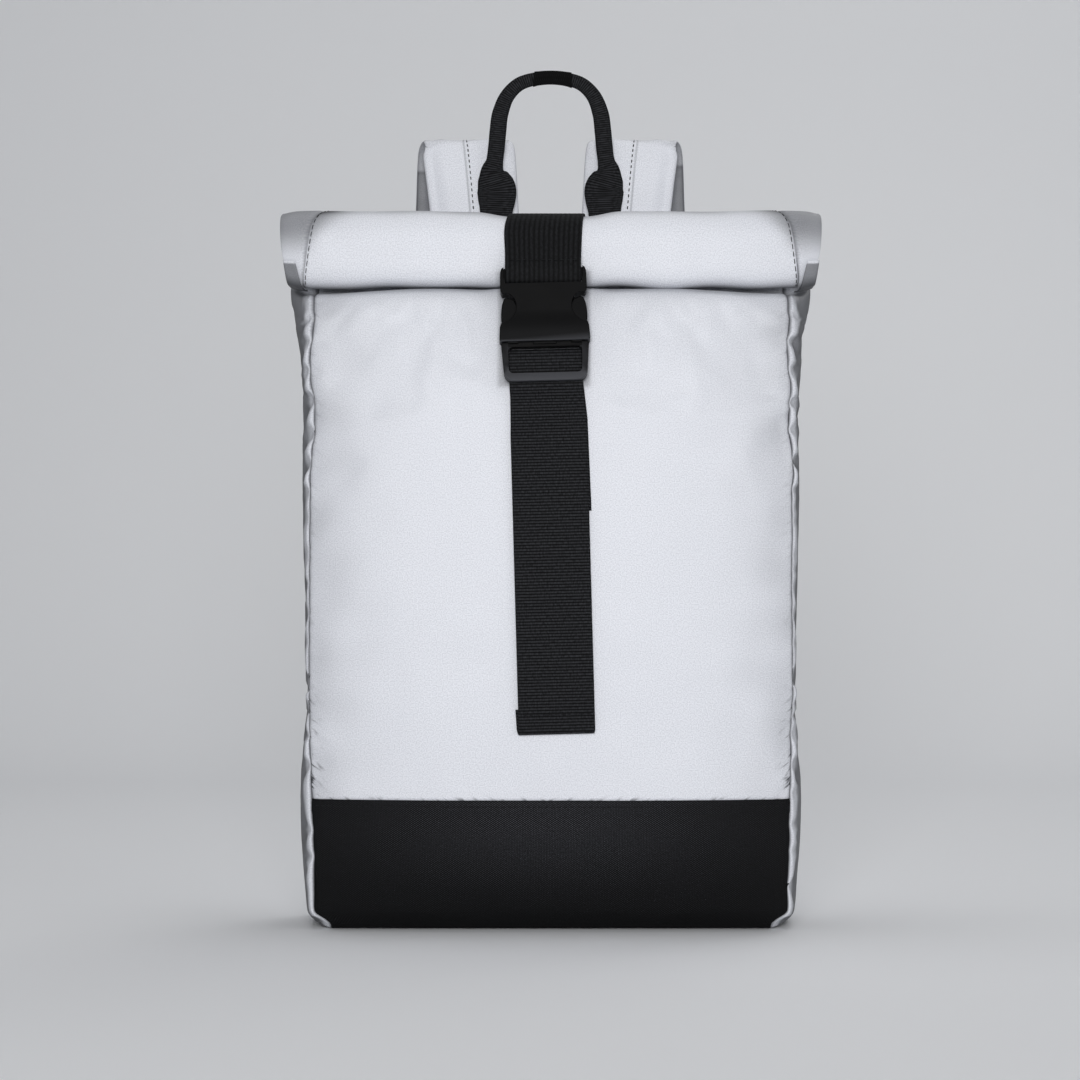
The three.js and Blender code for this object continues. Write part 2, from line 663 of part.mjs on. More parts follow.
function addClosure() {
  const strap = add("closure_strap", ribbon(closureLine(), closureWidth, webThick), webbing);
  strap.position.x = closureX;

  const slanted = new THREE.Group();
  slanted.position.set(buckleX, buckleY, buckleZ);
  slanted.rotation.y = closureSlant;
  bag.add(slanted);
  const leaning = new THREE.Group();
  leaning.rotation.x = Math.PI / 2 - buckleLean;
  slanted.add(leaning);
  add("buckle_socket", makeSocket(), moulded, leaning);
  add("buckle_plug", makePlug(), moulded, leaning);
  const tail = ribbon(tailLine(), closureWidth, webThick).translate(0, -buckleY, -buckleZ);
  add("tail_strap", tail, webbing, slanted);
}

function addHandle() {
  const mirrored = handleRows.slice(0, -1).toReversed().map((r) => ({ ...r, x: -r.x }));
  const inFrontPlane = (run) => new THREE.Vector3(0, -1, 0).cross(run);
  const loop = [...handleRows, ...mirrored];
  add("carry_handle", softBar(loop, handleSides, handleSteps, handleSquareness, inFrontPlane), webbing);
}

// A ladder lock in its own frame: up along its lean, and out from the back of the bag.
function makeLock() {
  const outline = roundedRectangle(lockWide, -lockTall / 2, lockTall / 2, lockCorner);
  let lock = plate(outline, -lockThick / 2, lockThick / 2);
  for (const slot of lockSlots) {
    lock = lock.subtract(block([-lockSlotWide / 2, lockSlotWide / 2], [slot.low, slot.high], wayThrough));
  }
  return geometryOf(lock);
}

function fromLock(out, up) {
  const y = lockY + up * Math.sin(lockLean) + out * Math.cos(lockLean);
  const z = lockZ + up * Math.cos(lockLean) - out * Math.sin(lockLean);
  return new THREE.Vector2(y, z);
}

const lockTurn = lockThick / 2 + clear + webThick / 2; // webbing's radius round a bar of the lock

// The points of a half turn round a bar of the lock, over it or under it.
function turnOnLock(up, sign) {
  return [180, 150, 120, 90, 60, 30, 0].map((angle) => {
    const a = THREE.MathUtils.degToRad(angle);
    return fromLock(lockTurn * Math.cos(a), up + sign * lockTurn * Math.sin(a));
  });
}

// Webbing folded over the pad's end, which holds the top bar of the lock.
function padLoopLine() {
  const inFront = padLoopRows.map((r) => fromLock(r.front - lie, r.up));
  const behind = padLoopRows.map((r) => fromLock(r.back + lie, r.up));
  return [...inFront, ...turnOnLock(lockSlots[1].high + 1, -1), ...behind.toReversed()];
}

// Sewn to the foot of the back, up through the lock, over its bottom bar and down as a tail.
function lowerWebLine() {
  const barTop = lockSlots[0].low;
  const turn = turnOnLock(barTop - 1, 1);
  const at = (y, z) => new THREE.Vector2(y, z);
  const sewn = [at(53.4, 32), at(53.8, 50), at(55, 64), at(59, 84)];
  const hanging = [fromLock(lockTurn, -16), at(69.5, 84), at(69, 52)];
  return [...sewn, fromLock(-lockTurn, -13), ...turn, ...hanging];
}

function addShoulderStraps() {
  const level = () => new THREE.Vector3(1, 0, 0);
  for (const [side, hand] of [["left", -1], ["right", 1]]) {
    const rows = strapRows.map((r) => ({ ...r, x: hand * r.x }));
    add(`shoulder_strap_${side}`, softBar(rows, strapSides, strapSteps, strapSquareness, level), reflective);
    const lock = add(`strap_adjuster_${side}`, makeLock(), moulded);
    lock.position.set(hand * lockX, lockY, lockZ);
    lock.rotation.x = Math.PI / 2 - lockLean;
    for (const [name, line] of [["strap_loop", padLoopLine()], ["strap_web", lowerWebLine()]]) {
      const web = add(`${name}_${side}`, ribbon(line, lowerWebWidth, webThick), webbing);
      web.position.x = hand * lockX;
    }
  }
}

addPanels();
addBase();
addGussets();
addClosure();
addHandle();
addShoulderStraps();

export default bag;
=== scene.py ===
# Roll-top backpack of reflective cloth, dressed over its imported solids.
# Sizes are in millimetres, and meshPiece turns them to metres.
import math

import bpy
import numpy as np
from mathutils import Matrix, Vector


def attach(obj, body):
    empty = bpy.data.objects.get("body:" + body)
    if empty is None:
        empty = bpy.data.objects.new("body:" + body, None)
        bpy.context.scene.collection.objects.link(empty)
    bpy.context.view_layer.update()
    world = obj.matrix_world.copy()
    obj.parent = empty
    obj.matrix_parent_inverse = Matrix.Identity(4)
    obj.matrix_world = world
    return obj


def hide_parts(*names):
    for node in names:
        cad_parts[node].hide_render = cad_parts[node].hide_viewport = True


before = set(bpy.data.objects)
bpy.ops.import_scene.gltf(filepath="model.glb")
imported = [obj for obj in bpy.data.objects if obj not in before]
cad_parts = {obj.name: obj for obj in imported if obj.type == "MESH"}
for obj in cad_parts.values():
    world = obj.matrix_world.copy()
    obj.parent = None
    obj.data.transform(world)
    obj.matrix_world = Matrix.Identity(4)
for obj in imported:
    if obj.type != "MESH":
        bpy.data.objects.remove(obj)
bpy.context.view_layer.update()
millimetre = 0.001
hands = (("left", -1), ("right", 1))
chance = np.random.default_rng(7)
print("frame loaded:", len(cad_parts), "nodes")


# Small helpers for numbers
def linear(hexColour):
    # sRGB hex to the linear colour that a shader takes
    shares = [int(hexColour[i:i + 2], 16) / 255 for i in (1, 3, 5)]
    return [s / 12.92 if s <= 0.04045 else ((s + 0.055) / 1.055) ** 2.4 for s in shares] + [1.0]


def curveThrough(places, values, wanted):
    # a smooth curve through a table, with slopes taken from the neighbours on both sides
    places = np.asarray(places, float)
    values = np.asarray(values, float)
    shape = (-1,) + (1,) * (values.ndim - 1)
    slopes = np.empty_like(values)
    slopes[1:-1] = (values[2:] - values[:-2]) / (places[2:] - places[:-2]).reshape(shape)
    slopes[0] = (values[1] - values[0]) / (places[1] - places[0])
    slopes[-1] = (values[-1] - values[-2]) / (places[-1] - places[-2])
    i = np.clip(np.searchsorted(places, wanted, side="right") - 1, 0, len(places) - 2)
    step = (places[i + 1] - places[i]).reshape(shape)
    t = np.clip((np.asarray(wanted) - places[i]).reshape(shape) / step, 0, 1)
    first = (1 + 2 * t) * (1 - t) ** 2 * values[i] + t * t * (3 - 2 * t) * values[i + 1]
    return first + step * t * (1 - t) * ((1 - t) * slopes[i] - t * slopes[i + 1])


def lengthAlong(points):
    steps = np.linalg.norm(np.diff(points, axis=0), axis=-1)
    return np.concatenate([[0.0], np.cumsum(steps)])


def unit(vectors):
    return vectors / np.maximum(np.linalg.norm(vectors, axis=-1, keepdims=True), 1e-9)


def fadeIn(x, low, high):
    t = np.clip((np.asarray(x, float) - low) / (high - low), 0, 1)
    return t * t * (3 - 2 * t)


def bell(x, width):
    return np.exp(-(x / width) ** 2)


def rightOf(line):
    # at each point of a line in the YZ plane, the direction to the right of travel
    run = unit(np.gradient(line, axis=0))
    return np.stack([run[:, 1], -run[:, 0]], axis=1)


# Small helpers for meshes
def pickOnly(piece):
    bpy.ops.object.select_all(action="DESELECT")
    piece.select_set(True)
    bpy.context.view_layer.objects.active = piece


def editWhole(piece, *steps):
    # each step is a mesh operator and its settings, for the whole piece
    pickOnly(piece)
    bpy.ops.object.mode_set(mode="EDIT")
    for operator, settings in steps:
        bpy.ops.mesh.select_all(action="SELECT")
        operator(**settings)
    bpy.ops.object.mode_set(mode="OBJECT")
    return piece


def outwardFaces(piece):
    return editWhole(piece, (bpy.ops.mesh.normals_make_consistent, {"inside": False}))


def meshPiece(name, points, faces, uvs=None):
    # points in millimetres, and uvs one pair for each corner of each face
    mesh = bpy.data.meshes.new(name)
    mesh.from_pydata((np.asarray(points) * millimetre).tolist(), [], [list(map(int, f)) for f in faces])
    if uvs is not None:
        layer = mesh.uv_layers.new(name="weave")
        layer.data.foreach_set("uv", np.asarray(uvs, np.float32).ravel())
    mesh.validate()
    mesh.polygons.foreach_set("use_smooth", [True] * len(mesh.polygons))
    piece = bpy.data.objects.new(name, mesh)
    bpy.context.scene.collection.objects.link(piece)
    return piece


def markPoints(piece, name, values):
    # one number for each point, for the material to read
    layer = piece.data.attributes.new(name, "FLOAT", "POINT")
    layer.data.foreach_set("value", np.asarray(values, np.float32).ravel())


def gridFaces(rows, columns, around=False):
    r, c = np.meshgrid(np.arange(rows - 1), np.arange(columns if around else columns - 1), indexing="ij")
    nextC = (c + 1) % columns
    corners = [r * columns + c, r * columns + nextC, (r + 1) * columns + nextC, (r + 1) * columns + c]
    return np.stack([k.ravel() for k in corners], axis=1)


def gridPiece(name, grid, flip=False):
    # a sheet from rows and columns of points, with its weave laid along them at true size
    rows, columns = grid.shape[:2]
    along = lengthAlong(grid[:, columns // 2])
    across = lengthAlong(grid[rows // 2])
    faces = gridFaces(rows, columns)
    if flip:
        faces = faces[:, ::-1]
    v, u = np.divmod(faces, columns)
    uvs = np.stack([across[u], along[v]], axis=-1) * millimetre
    return meshPiece(name, grid.reshape(-1, 3), faces, uvs)


def loftPiece(name, points, along, around):
    # a closed tube from rings of points, with its weave laid by the lengths along and around it
    rows, columns = points.shape[:2]
    faces = gridFaces(rows, columns, around=True)
    v, u = np.divmod(faces, columns)
    uvs = np.stack([around[u], along[v]], axis=-1) * millimetre
    caps = [list(range(columns))[::-1], [(rows - 1) * columns + c for c in range(columns)]]
    allUvs = np.concatenate([uvs.reshape(-1, 2), np.zeros((2 * columns, 2))])
    return outwardFaces(meshPiece(name, points.reshape(-1, 3), list(faces) + caps, allUvs))


def applyModifier(piece, kind, **settings):
    pickOnly(piece)
    modifier = piece.modifiers.new(kind.lower(), kind)
    for key, value in settings.items():
        setattr(modifier, key, value)
    bpy.ops.object.modifier_apply(modifier=modifier.name)


def dress(piece, material, slot, *nodes):
    # every piece rides on the bag's one body and takes the material it is given
    piece.data.materials.clear()
    piece.data.materials.append(material)
    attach(piece, "root")
    if nodes:
        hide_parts(*nodes)
    return piece


# Camera, lights and floor
photo = {"pixels": 1080, "mmPerPixel": 0.655, "middle": (540, 540), "floorRow": 933, "axisColumn": 551}
view = {"distance": 2200, "frontPlane": -65}
studio = {
    "floor": "#f0f1f3",
    "sky": "#eef0f4",
    "ambient": 0.2,
    # half width of the paper, its depth behind the bag, height, bend and front edge, in metres
    "paper": (5.0, 2.2, 3.5, 0.9, -4.0),
    # power, size, place, where it points and spread in degrees
    "lights": {
        "key light": (25.6, (1.15, 1.15), (-0.12, -3.7, 0.95), (0, 0, 0.36), 103),
        "fill light": (5, (1.6, 1.6), (1.9, -1.7, 0.9), (0, 0, 0.27), 180),
        "top light": (9, (1.8, 1.2), (0, 0.2, 2.1), (0, 0, 0.27), 180),
        "back light": (9, (1.4, 1.4), (0.9, 1.6, 2.2), (0, 0, 0.27), 180),
    },
}


def placeCamera():
    camera = bpy.data.objects.new("camera", bpy.data.cameras.new("camera"))
    bpy.context.scene.collection.objects.link(camera)
    x = (photo["middle"][0] - photo["axisColumn"]) * photo["mmPerPixel"]
    z = (photo["floorRow"] - photo["middle"][1]) * photo["mmPerPixel"]
    camera.location = Vector((x, view["frontPlane"] - view["distance"], z)) * millimetre
    camera.rotation_euler = (math.pi / 2, 0, 0)
    camera.data.angle = 2 * math.atan(photo["pixels"] * photo["mmPerPixel"] / 2 / view["distance"])
    camera.data.clip_start = 0.05
    bpy.context.scene.camera = camera


def areaLight(name, power, size, place, target, spread):
    light = bpy.data.objects.new(name, bpy.data.lights.new(name, "AREA"))
    light.data.energy = power
    light.data.shape = "RECTANGLE"
    light.data.size, light.data.size_y = size
    light.data.spread = math.radians(spread)
    light.location = place
    light.rotation_euler = (Vector(target) - Vector(place)).to_track_quat("-Z", "Y").to_euler()
    bpy.context.scene.collection.objects.link(light)


def setNode(tree, node, settings=None, links=None):
    # settings are fields of the node, its input sockets or the stops of its ramp,
    # and links feed sockets from another node's output
    for key, value in (settings or {}).items():
        if key == "stops":
            for stop, (place, colour) in zip(node.color_ramp.elements, value):
                stop.position = place
                stop.color = linear(colour)
        elif isinstance(key, int) or key in node.inputs:
            node.inputs[key].default_value = value
        else:
            setattr(node, key, value)
    for key, (source, output) in (links or {}).items():
        tree.links.new(source.outputs[output], node.inputs[key])
    return node


def addNode(tree, kind, settings=None, links=None):
    return setNode(tree, tree.nodes.new("ShaderNode" + kind), settings, links)


def startMaterial(name):
    material = bpy.data.materials.new(name)
    material.use_nodes = True
    tree = material.node_tree
    return material, tree, tree.nodes["Principled BSDF"]


def buildStudio():
    material, tree, shader = startMaterial("studio paper")
    setNode(tree, shader, {"Base Color": linear(studio["floor"]), "Roughness": 0.9})
    reach, depth, height, bend, front = studio["paper"]
    turn = [(depth - bend + bend * math.sin(a), bend - bend * math.cos(a))
            for a in np.linspace(0, math.pi / 2, 16)]
    profile = [(front, 0.0)] + turn + [(depth, height)]
    points = np.array([[side * reach, y, z] for y, z in profile for side in (-1, 1)]) * 1000
    floor = meshPiece("floor", points, gridFaces(len(profile), 2))
    floor.data.materials.append(material)
    for name, light in studio["lights"].items():
        areaLight(name, *light)
    world = bpy.data.worlds.new("studio")
    world.use_nodes = True
    tree = world.node_tree
    sky = {"Color": linear(studio["sky"]), "Strength": studio["ambient"]}
    setNode(tree, tree.nodes["Background"], sky)
    bpy.context.scene.world = world
    bpy.context.scene.view_settings.view_transform = "Standard"


placeCamera()
buildStudio()
print("camera and studio placed")


# The bag's skin by sections, from the floor to the mouth inside the roll
body = {
    "footRadius": 14,
    "footShare": 0.6,  # how far the back follows the foot's rounding
    "cornerDrawn": 10.2,  # how far the gussets are drawn in under the front's lower corners
    "baseFront": 87,  # top edge of the black base on the front
    "baseBack": 25,
    "frontFullness": 3.0,  # how late the crown falls off towards the seams
    "backFullness": 2.4,
    "heights": [0, 0.8, 2.5, 5, 7.5, 10.5, 14, 25, 40, 66, 87, 120, 150, 185, 220, 252, 283, 316, 348],
    # height, front, back, front crown, back crown
    "rows": [
        (0, -52, 49, 4, 2),
        (40, -53, 50, 9, 3),
        (87, -54, 51, 12, 4),
        (150, -55, 52, 14, 5),
        (220, -55, 52, 15, 5),
        (283, -54, 52, 14, 5),
        (348, -51, 51, 12, 5),
        (400, -44, 49, 9, 4),
        (421, -38, 46, 6, 3),
    ],
    # height, seam, gusset's bulge
    "sides": [
        (0, 155.5, 6.5),
        (40, 157, 8.5),
        (87, 158.7, 8.8),
        (120, 160, 5),
        (150, 161, 1.6),
        (190, 161, 2.4),
        (220, 160.6, 3.4),
        (283, 160.7, 4.6),
        (348, 158.3, 7.7),
        (400, 157.8, 13.2),
        (421, 157.5, 17.4),
    ],
    # front y and z, back y and z, seam, bulge, crowns: under the roll
    "shoulder": [
        (-49.5, 380, 50, 380, 158, 10, 10, 4.5),
        (-44.5, 404, 48.5, 403, 157.7, 14, 8.5, 4),
        (-38, 418, 45, 417, 157.5, 17, 6, 3),
        (-32, 421, 37, 430, 157, 18.2, 3, 2),
        (-16, 421, 22, 438.5, 156.5, 18.5, 0, 1),
        (-7.5, 425, 8, 442, 156, 18, 0, 0),
    ],
}
coil = {
    "y": -24,
    "z": 447,
    "halfDepth": 22,
    "halfHeight": 25,
    "squareness": 2.5,
    "layer": 1.6,
    "pitch": 5.5,
    "tightensFrom": 150,
    "end": 560,
    "step": 20,
    # angle, seam, how far the folded gusset stands out
    "ends": [(0, 154, 19), (60, 148, 27.5), (90, 148.5, 29.6), (115, 153.5, 25.7), (140, 158.3, 21),
             (190, 162.3, 14.9), (250, 164, 3.5), (330, 156, 8), (600, 154, 9)],
    "lift": 4.4,  # how far the crown of the roll stands above its section
    "liftHeights": (438, 466),
    "endLift": (0.5, 100, 165),  # how much more towards the ends, and from where to where
    "endDrop": (1.0, 169, 179),  # how far the crown falls again at its outer corners
    "strapDip": 3.2,  # how far the closure presses the crown down
    "belly": (222, 24, 2.6),  # angle, reach and depth of the sag under the roll's middle
}


def bodySection(height):
    rows = np.array(body["rows"], float)
    front, back, frontCrown, backCrown = curveThrough(rows[:, 0], rows[:, 1:], [height])[0]
    sides = np.array(body["sides"], float)
    seam, out = curveThrough(sides[:, 0], sides[:, 1:], [height])[0]
    radius = body["footRadius"]
    below = max(radius - height, 0)
    inset = radius - math.sqrt(radius ** 2 - below ** 2)
    flat = 1 - below / radius
    drawn = body["cornerDrawn"] * (1 - fadeIn(height, 3.6, 13))
    bulge = (out + drawn - inset) * fadeIn(height, 0, 0.8)
    return [front + inset, height, back - inset * body["footShare"], height, seam - drawn, bulge,
            frontCrown * flat, backCrown * flat]


def rollMiddle(angle):
    angle = np.asarray(angle, float)
    a = np.radians(angle)
    early = coil["pitch"] * np.maximum(angle - coil["tightensFrom"], 0) / (360 - coil["tightensFrom"])
    taken = coil["layer"] + np.where(angle > 360, coil["pitch"] * angle / 360, early)
    y = np.abs(np.cos(a) / (coil["halfDepth"] - taken)) ** coil["squareness"]
    z = np.abs(np.sin(a) / (coil["halfHeight"] - taken)) ** coil["squareness"]
    reach = (y + z) ** (-1 / coil["squareness"])
    return np.stack([coil["y"] + reach * np.cos(a), coil["z"] + reach * np.sin(a)], axis=-1)


def rollOutward(angle):
    run = unit(rollMiddle(np.asarray(angle) + 1) - rollMiddle(np.asarray(angle) - 1))
    return np.stack([run[..., 1], -run[..., 0]], axis=-1)


def rollBelly(angle):
    middle, reach, depth = coil["belly"]
    return depth * bell(angle - middle, reach)[:, None]


def rollSection(angle):
    middle = rollMiddle(angle)
    outward = rollOutward(angle) * coil["layer"]
    ends = np.array(coil["ends"], float)
    seam, out = curveThrough(ends[:, 0], ends[:, 1:], [angle])[0]
    return [*(middle - outward), *(middle + outward), seam, out, 0, 0]


def liftCrown(x, z):
    half = closure["width"] / 2
    beside = np.abs(x - closure["x"] - closure["lean"])
    endLift, *liftReach = coil["endLift"]
    endDrop, *dropReach = coil["endDrop"]
    more = endLift * fadeIn(np.abs(x), *liftReach) - endDrop * fadeIn(np.abs(x), *dropReach)
    more = more - coil["strapDip"] * (1 - fadeIn(beside, half + 1, half + 24))
    return z + (coil["lift"] + more) * fadeIn(z, *coil["liftHeights"])


rollAngles = np.arange(0, coil["end"] + 1, coil["step"])
sections = [bodySection(h) for h in body["heights"]] + [list(r) for r in body["shoulder"]]
rollFrom = len(sections)
sections = np.array(sections + [rollSection(a) for a in rollAngles], float)
sectionPlace = (lengthAlong(sections[:, :2]) + lengthAlong(sections[:, 2:4])) / 2
underRoll = sectionPlace[rollFrom - 4]
placeOf = {h: sectionPlace[i] for i, h in enumerate(body["heights"])}


def rowPlaces(pitch):
    # whole steps between neighbouring sections, so that a row runs along each of them
    places = [sectionPlace[:1]]
    for low, high in zip(sectionPlace[:-1], sectionPlace[1:]):
        steps = max(1, round((high - low) / pitch))
        places.append(low + (high - low) * np.arange(1, steps + 1) / steps)
    return np.concatenate(places)


def columnShares(width, pitch, close):
    # even steps of 0 to 1, with closer ones beside the seams at both ends
    edge = np.array(close) / width
    inner = np.linspace(edge[-1], 1 - edge[-1], max(2, round(width * (1 - 2 * edge[-1]) / pitch)))
    return np.concatenate([edge[:-1], inner, 1 - edge[:-1][::-1]])


def ringPoints(places, panelShares, gussetShares):
    # a ring of points for each place: front, right gusset, back and left gusset
    at = curveThrough(sectionPlace, sections, places)
    front, back = at[:, :2], at[:, 2:4]
    seam, out, frontCrown, backCrown = at[:, 4:].T
    across = 2 * panelShares - 1

    def panelGrid(line, crown, hand, fullness):
        swell = 1 - np.abs(across) ** fullness
        x = seam[:, None] * across
        outward = rightOf(line)[:, None, :] * hand * (crown[:, None] * swell)[..., None]
        return np.concatenate([x[..., None], line[:, None, :] + outward], axis=-1)

    def gussetGrid(hand):
        bend = np.pi * gussetShares
        x = hand * (seam[:, None] + out[:, None] * np.sin(bend))
        middle = (front + back)[:, None, :] / 2
        spread = (back - front)[:, None, :] / 2 * -np.cos(bend)[:, None]
        return np.concatenate([x[..., None], middle + spread], axis=-1)

    frontGrid = panelGrid(front, frontCrown, -1, body["frontFullness"])
    backGrid = panelGrid(back, backCrown, 1, body["backFullness"])
    return frontGrid, gussetGrid(1), backGrid, gussetGrid(-1)


def joinRing(front, right, back, left):
    return np.concatenate([front, right[:, 1:], back[:, ::-1][:, 1:], left[:, ::-1][:, 1:-1]], axis=1)


def ringNormals(ring):
    across = np.roll(ring, -1, axis=1) - np.roll(ring, 1, axis=1)
    along = np.gradient(ring, axis=0)
    return unit(np.cross(across, along))


def ripple(a, b, shortest, longest, count):
    # a smooth seeded unevenness over two lengths in millimetres, about -1 to 1
    total = np.zeros(np.broadcast(a, b).shape)
    for _ in range(count):
        turn = chance.uniform(0, 2 * np.pi)
        number = 2 * np.pi / chance.uniform(shortest, longest)
        total += np.sin((a * math.cos(turn) + b * math.sin(turn)) * number + chance.uniform(0, 2 * np.pi))
    return total / math.sqrt(count)


# Materials, with their sizes in metres
beads = {
    "size": 0.0008,
    "cloud": 0.045,
    "tints": [(0.25, "#d3d5dc"), (0.75, "#eceef4")],
    # the grey of the painted shade
    "paintedShadeGrey": "#3e3f43",
    "middle": 0.158,  # the painted crease shadows are mirrored about the middle of the front
    "crease": (0.011, 0.003, 1),
    "creaseTurn": 0.6,
}
oxford = {
    "pitch": 0.0011,
    "turn": 0.96,
    "tints": [(0, "#060606"), (0.5, "#18191b")],
    "paintedLightTints": [(0, "#0d0d0e"), (0.5, "#525358")],
}
weave = {"yarn": (0.0011, 0.0024), "stops": (0.15, 0.6)}
# the last colour is the painted highlight on the mouldings
acetal = {"texture": 0.0009, "flow": 0.02, "tints": [(0, "#050506"), (1, "#0a0a0b")], "paintedHighlightMark": "#46474b"}


def makeReflectiveCloth():
    # Glass-beaded polyester, coated after weaving: a pale silver skin with a fine sparkle of grain,
    # bright where it faces the light, and greyed by painted shade where it turns from the front, along the
    # seams, at the roll's ends, under the roll and around the buckle, which the meshes carry as a point
    # attribute, with short painted crease shadows where "pucker" says. The beads of 0.1 mm are drawn at 0.8
    # mm so that they show.
    material, tree, shader = startMaterial("glass-beaded reflective polyester")
    where = addNode(tree, "UVMap", {"uv_map": "weave"})
    onCloth = {"Vector": (where, "UV")}
    grain = addNode(tree, "TexNoise", {"Scale": 1 / beads["size"], "Detail": 0.0}, onCloth)
    cloud = addNode(tree, "TexNoise", {"Scale": 1 / beads["cloud"], "Detail": 3.0}, onCloth)
    tint = addNode(tree, "ValToRGB", {"stops": beads["tints"]}, {"Fac": (grain, "Fac")})
    # the painted shade's amount, from a point attribute
    paintedShade = addNode(tree, "Attribute", {"attribute_name": "paintedShade"})
    patches = {"From Min": 0.3, "From Max": 0.7, "To Min": 0.95, "To Max": 1.05}
    patchy = addNode(tree, "MapRange", patches, {"Value": (cloud, "Fac")})
    amount = addNode(tree, "Math", {"operation": "MULTIPLY", "use_clamp": True},
                     {0: (paintedShade, "Fac"), 1: (patchy, "Result")})
    # where the painted crease shadows go
    pucker = addNode(tree, "Attribute", {"attribute_name": "pucker"})
    apart = addNode(tree, "SeparateXYZ", None, onCloth)
    aside = addNode(tree, "Math", {"operation": "SUBTRACT", 1: beads["middle"]}, {0: (apart, "X")})
    mirrored = addNode(tree, "Math", {"operation": "ABSOLUTE"}, {0: (aside, "Value")})
    joined = addNode(tree, "CombineXYZ", None, {"X": (mirrored, "Value"), "Y": (apart, "Y")})
    lie = {"vector_type": "TEXTURE", "Rotation": (0, 0, beads["creaseTurn"]), "Scale": beads["crease"]}
    slanted = addNode(tree, "Mapping", lie, {"Vector": (joined, "Vector")})
    streak = addNode(tree, "TexNoise", {"Scale": 1.0, "Detail": 1.0}, {"Vector": (slanted, "Vector")})
    narrow = addNode(tree, "MapRange", {"From Min": 0.55, "From Max": 0.72}, {"Value": (streak, "Fac")})
    crease = addNode(tree, "Math", {"operation": "MULTIPLY"}, {0: (narrow, "Result"), 1: (pucker, "Fac")})
    darker = addNode(tree, "Math", {"operation": "ADD", "use_clamp": True},
                     {0: (amount, "Value"), 1: (crease, "Value")})
    mixed = addNode(tree, "Mix", {"data_type": "RGBA", 7: linear(beads["paintedShadeGrey"])},
                    {0: (darker, "Value"), 6: (tint, "Color")})
    rough = addNode(tree, "MapRange", {"To Min": 0.45, "To Max": 0.62}, {"Value": (grain, "Fac")})
    bump = addNode(tree, "Bump", {"Strength": 0.16, "Distance": 0.00015}, {"Height": (grain, "Fac")})
    setNode(tree, shader, {"IOR": 1.5, "Specular IOR Level": 0.4},
            {"Base Color": (mixed, 2), "Roughness": (rough, "Result"), "Normal": (bump, "Normal")})
    return material


def makeBlackCloth():
    # Polyester oxford, plied yarns in a coarse weave: matt black with pale painted glints on the crossings,
    # made paler and stronger where a point attribute lays a painted pool of light over the base. The real
    # weave of about 0.7 mm is drawn at 1.1 mm so that it shows.
    material, tree, shader = startMaterial("black polyester oxford")
    where = addNode(tree, "UVMap", {"uv_map": "weave"})
    onCloth = {"Vector": (where, "UV")}
    yarns = {"Scale": 0.314 / oxford["pitch"], "Distortion": 0.4, "Detail": 1.0, "Detail Scale": 1.5}
    waves = []
    for turn in (oxford["turn"], -oxford["turn"]):
        turned = addNode(tree, "Mapping", {"Rotation": (0, 0, turn)}, onCloth)
        waves.append(addNode(tree, "TexWave", yarns, {"Vector": (turned, "Vector")}))
    crossing = addNode(tree, "Math", {"operation": "MULTIPLY"},
                       {0: (waves[0], "Fac"), 1: (waves[1], "Fac")})
    fibre = addNode(tree, "TexNoise", {"Scale": 1 / oxford["pitch"], "Detail": 2.0}, onCloth)
    yarn = addNode(tree, "Math", {"operation": "MULTIPLY"}, {0: (crossing, "Value"), 1: (fibre, "Fac")})
    # painted pool of light on the base, from a point attribute
    paintedLighting = addNode(tree, "Attribute", {"attribute_name": "paintedLighting"})
    blend = {0: (paintedLighting, "Fac")}
    for socketNumber, tints in ((6, oxford["tints"]), (7, oxford["paintedLightTints"])):
        tint = addNode(tree, "ValToRGB", {"stops": tints}, {"Fac": (yarn, "Value")})
        blend[socketNumber] = (tint, "Color")
    mixed = addNode(tree, "Mix", {"data_type": "RGBA"}, blend)
    bump = addNode(tree, "Bump", {"Strength": 0.5, "Distance": 0.0004}, {"Height": (crossing, "Value")})
    setNode(tree, shader, {"Roughness": 0.8, "Specular IOR Level": 0.09},
            {"Base Color": (mixed, 2), "Normal": (bump, "Normal")})
    return material


def makeWebbing(name, axis, pitch, dark, pale):
    # Woven polyester webbing: deep black yarns, with a painted highlight on the crowns of the rows or ribs
    # and painted shade in the gaps between them.
    # The rows or ribs are in the mesh too, and the yarns across them are drawn at 1.1 mm.
    material, tree, shader = startMaterial(name)
    where = addNode(tree, "UVMap", {"uv_map": "weave"})
    onStrap = {"Vector": (where, "UV")}
    apart = addNode(tree, "SeparateXYZ", None, onStrap)
    turned = addNode(tree, "Math", {"operation": "MULTIPLY", 1: math.pi / pitch}, {0: (apart, axis)})
    wave = addNode(tree, "Math", {"operation": "SINE"}, {0: (turned, "Value")})
    crown = addNode(tree, "Math", {"operation": "ABSOLUTE"}, {0: (wave, "Value")})
    wide, long = weave["yarn"]
    stretched = addNode(tree, "Mapping", {"Scale": (1 / wide, 1 / long, 1)}, onStrap)
    yarn = addNode(tree, "TexNoise", {"Scale": 1.0, "Detail": 2.0}, {"Vector": (stretched, "Vector")})
    # painted highlight on the crowns of the rows or ribs, painted shade in the gaps
    lit = addNode(tree, "Math", {"operation": "MULTIPLY"}, {0: (crown, "Value"), 1: (yarn, "Fac")})
    stops = list(zip(weave["stops"], (dark, pale)))
    tint = addNode(tree, "ValToRGB", {"stops": stops}, {"Fac": (lit, "Value")})
    bump = addNode(tree, "Bump", {"Strength": 0.45, "Distance": 0.0004}, {"Height": (yarn, "Fac")})
    setNode(tree, shader, {"Roughness": 0.7, "Specular IOR Level": 0.09},
            {"Base Color": (tint, "Color"), "Normal": (bump, "Normal")})
    return material


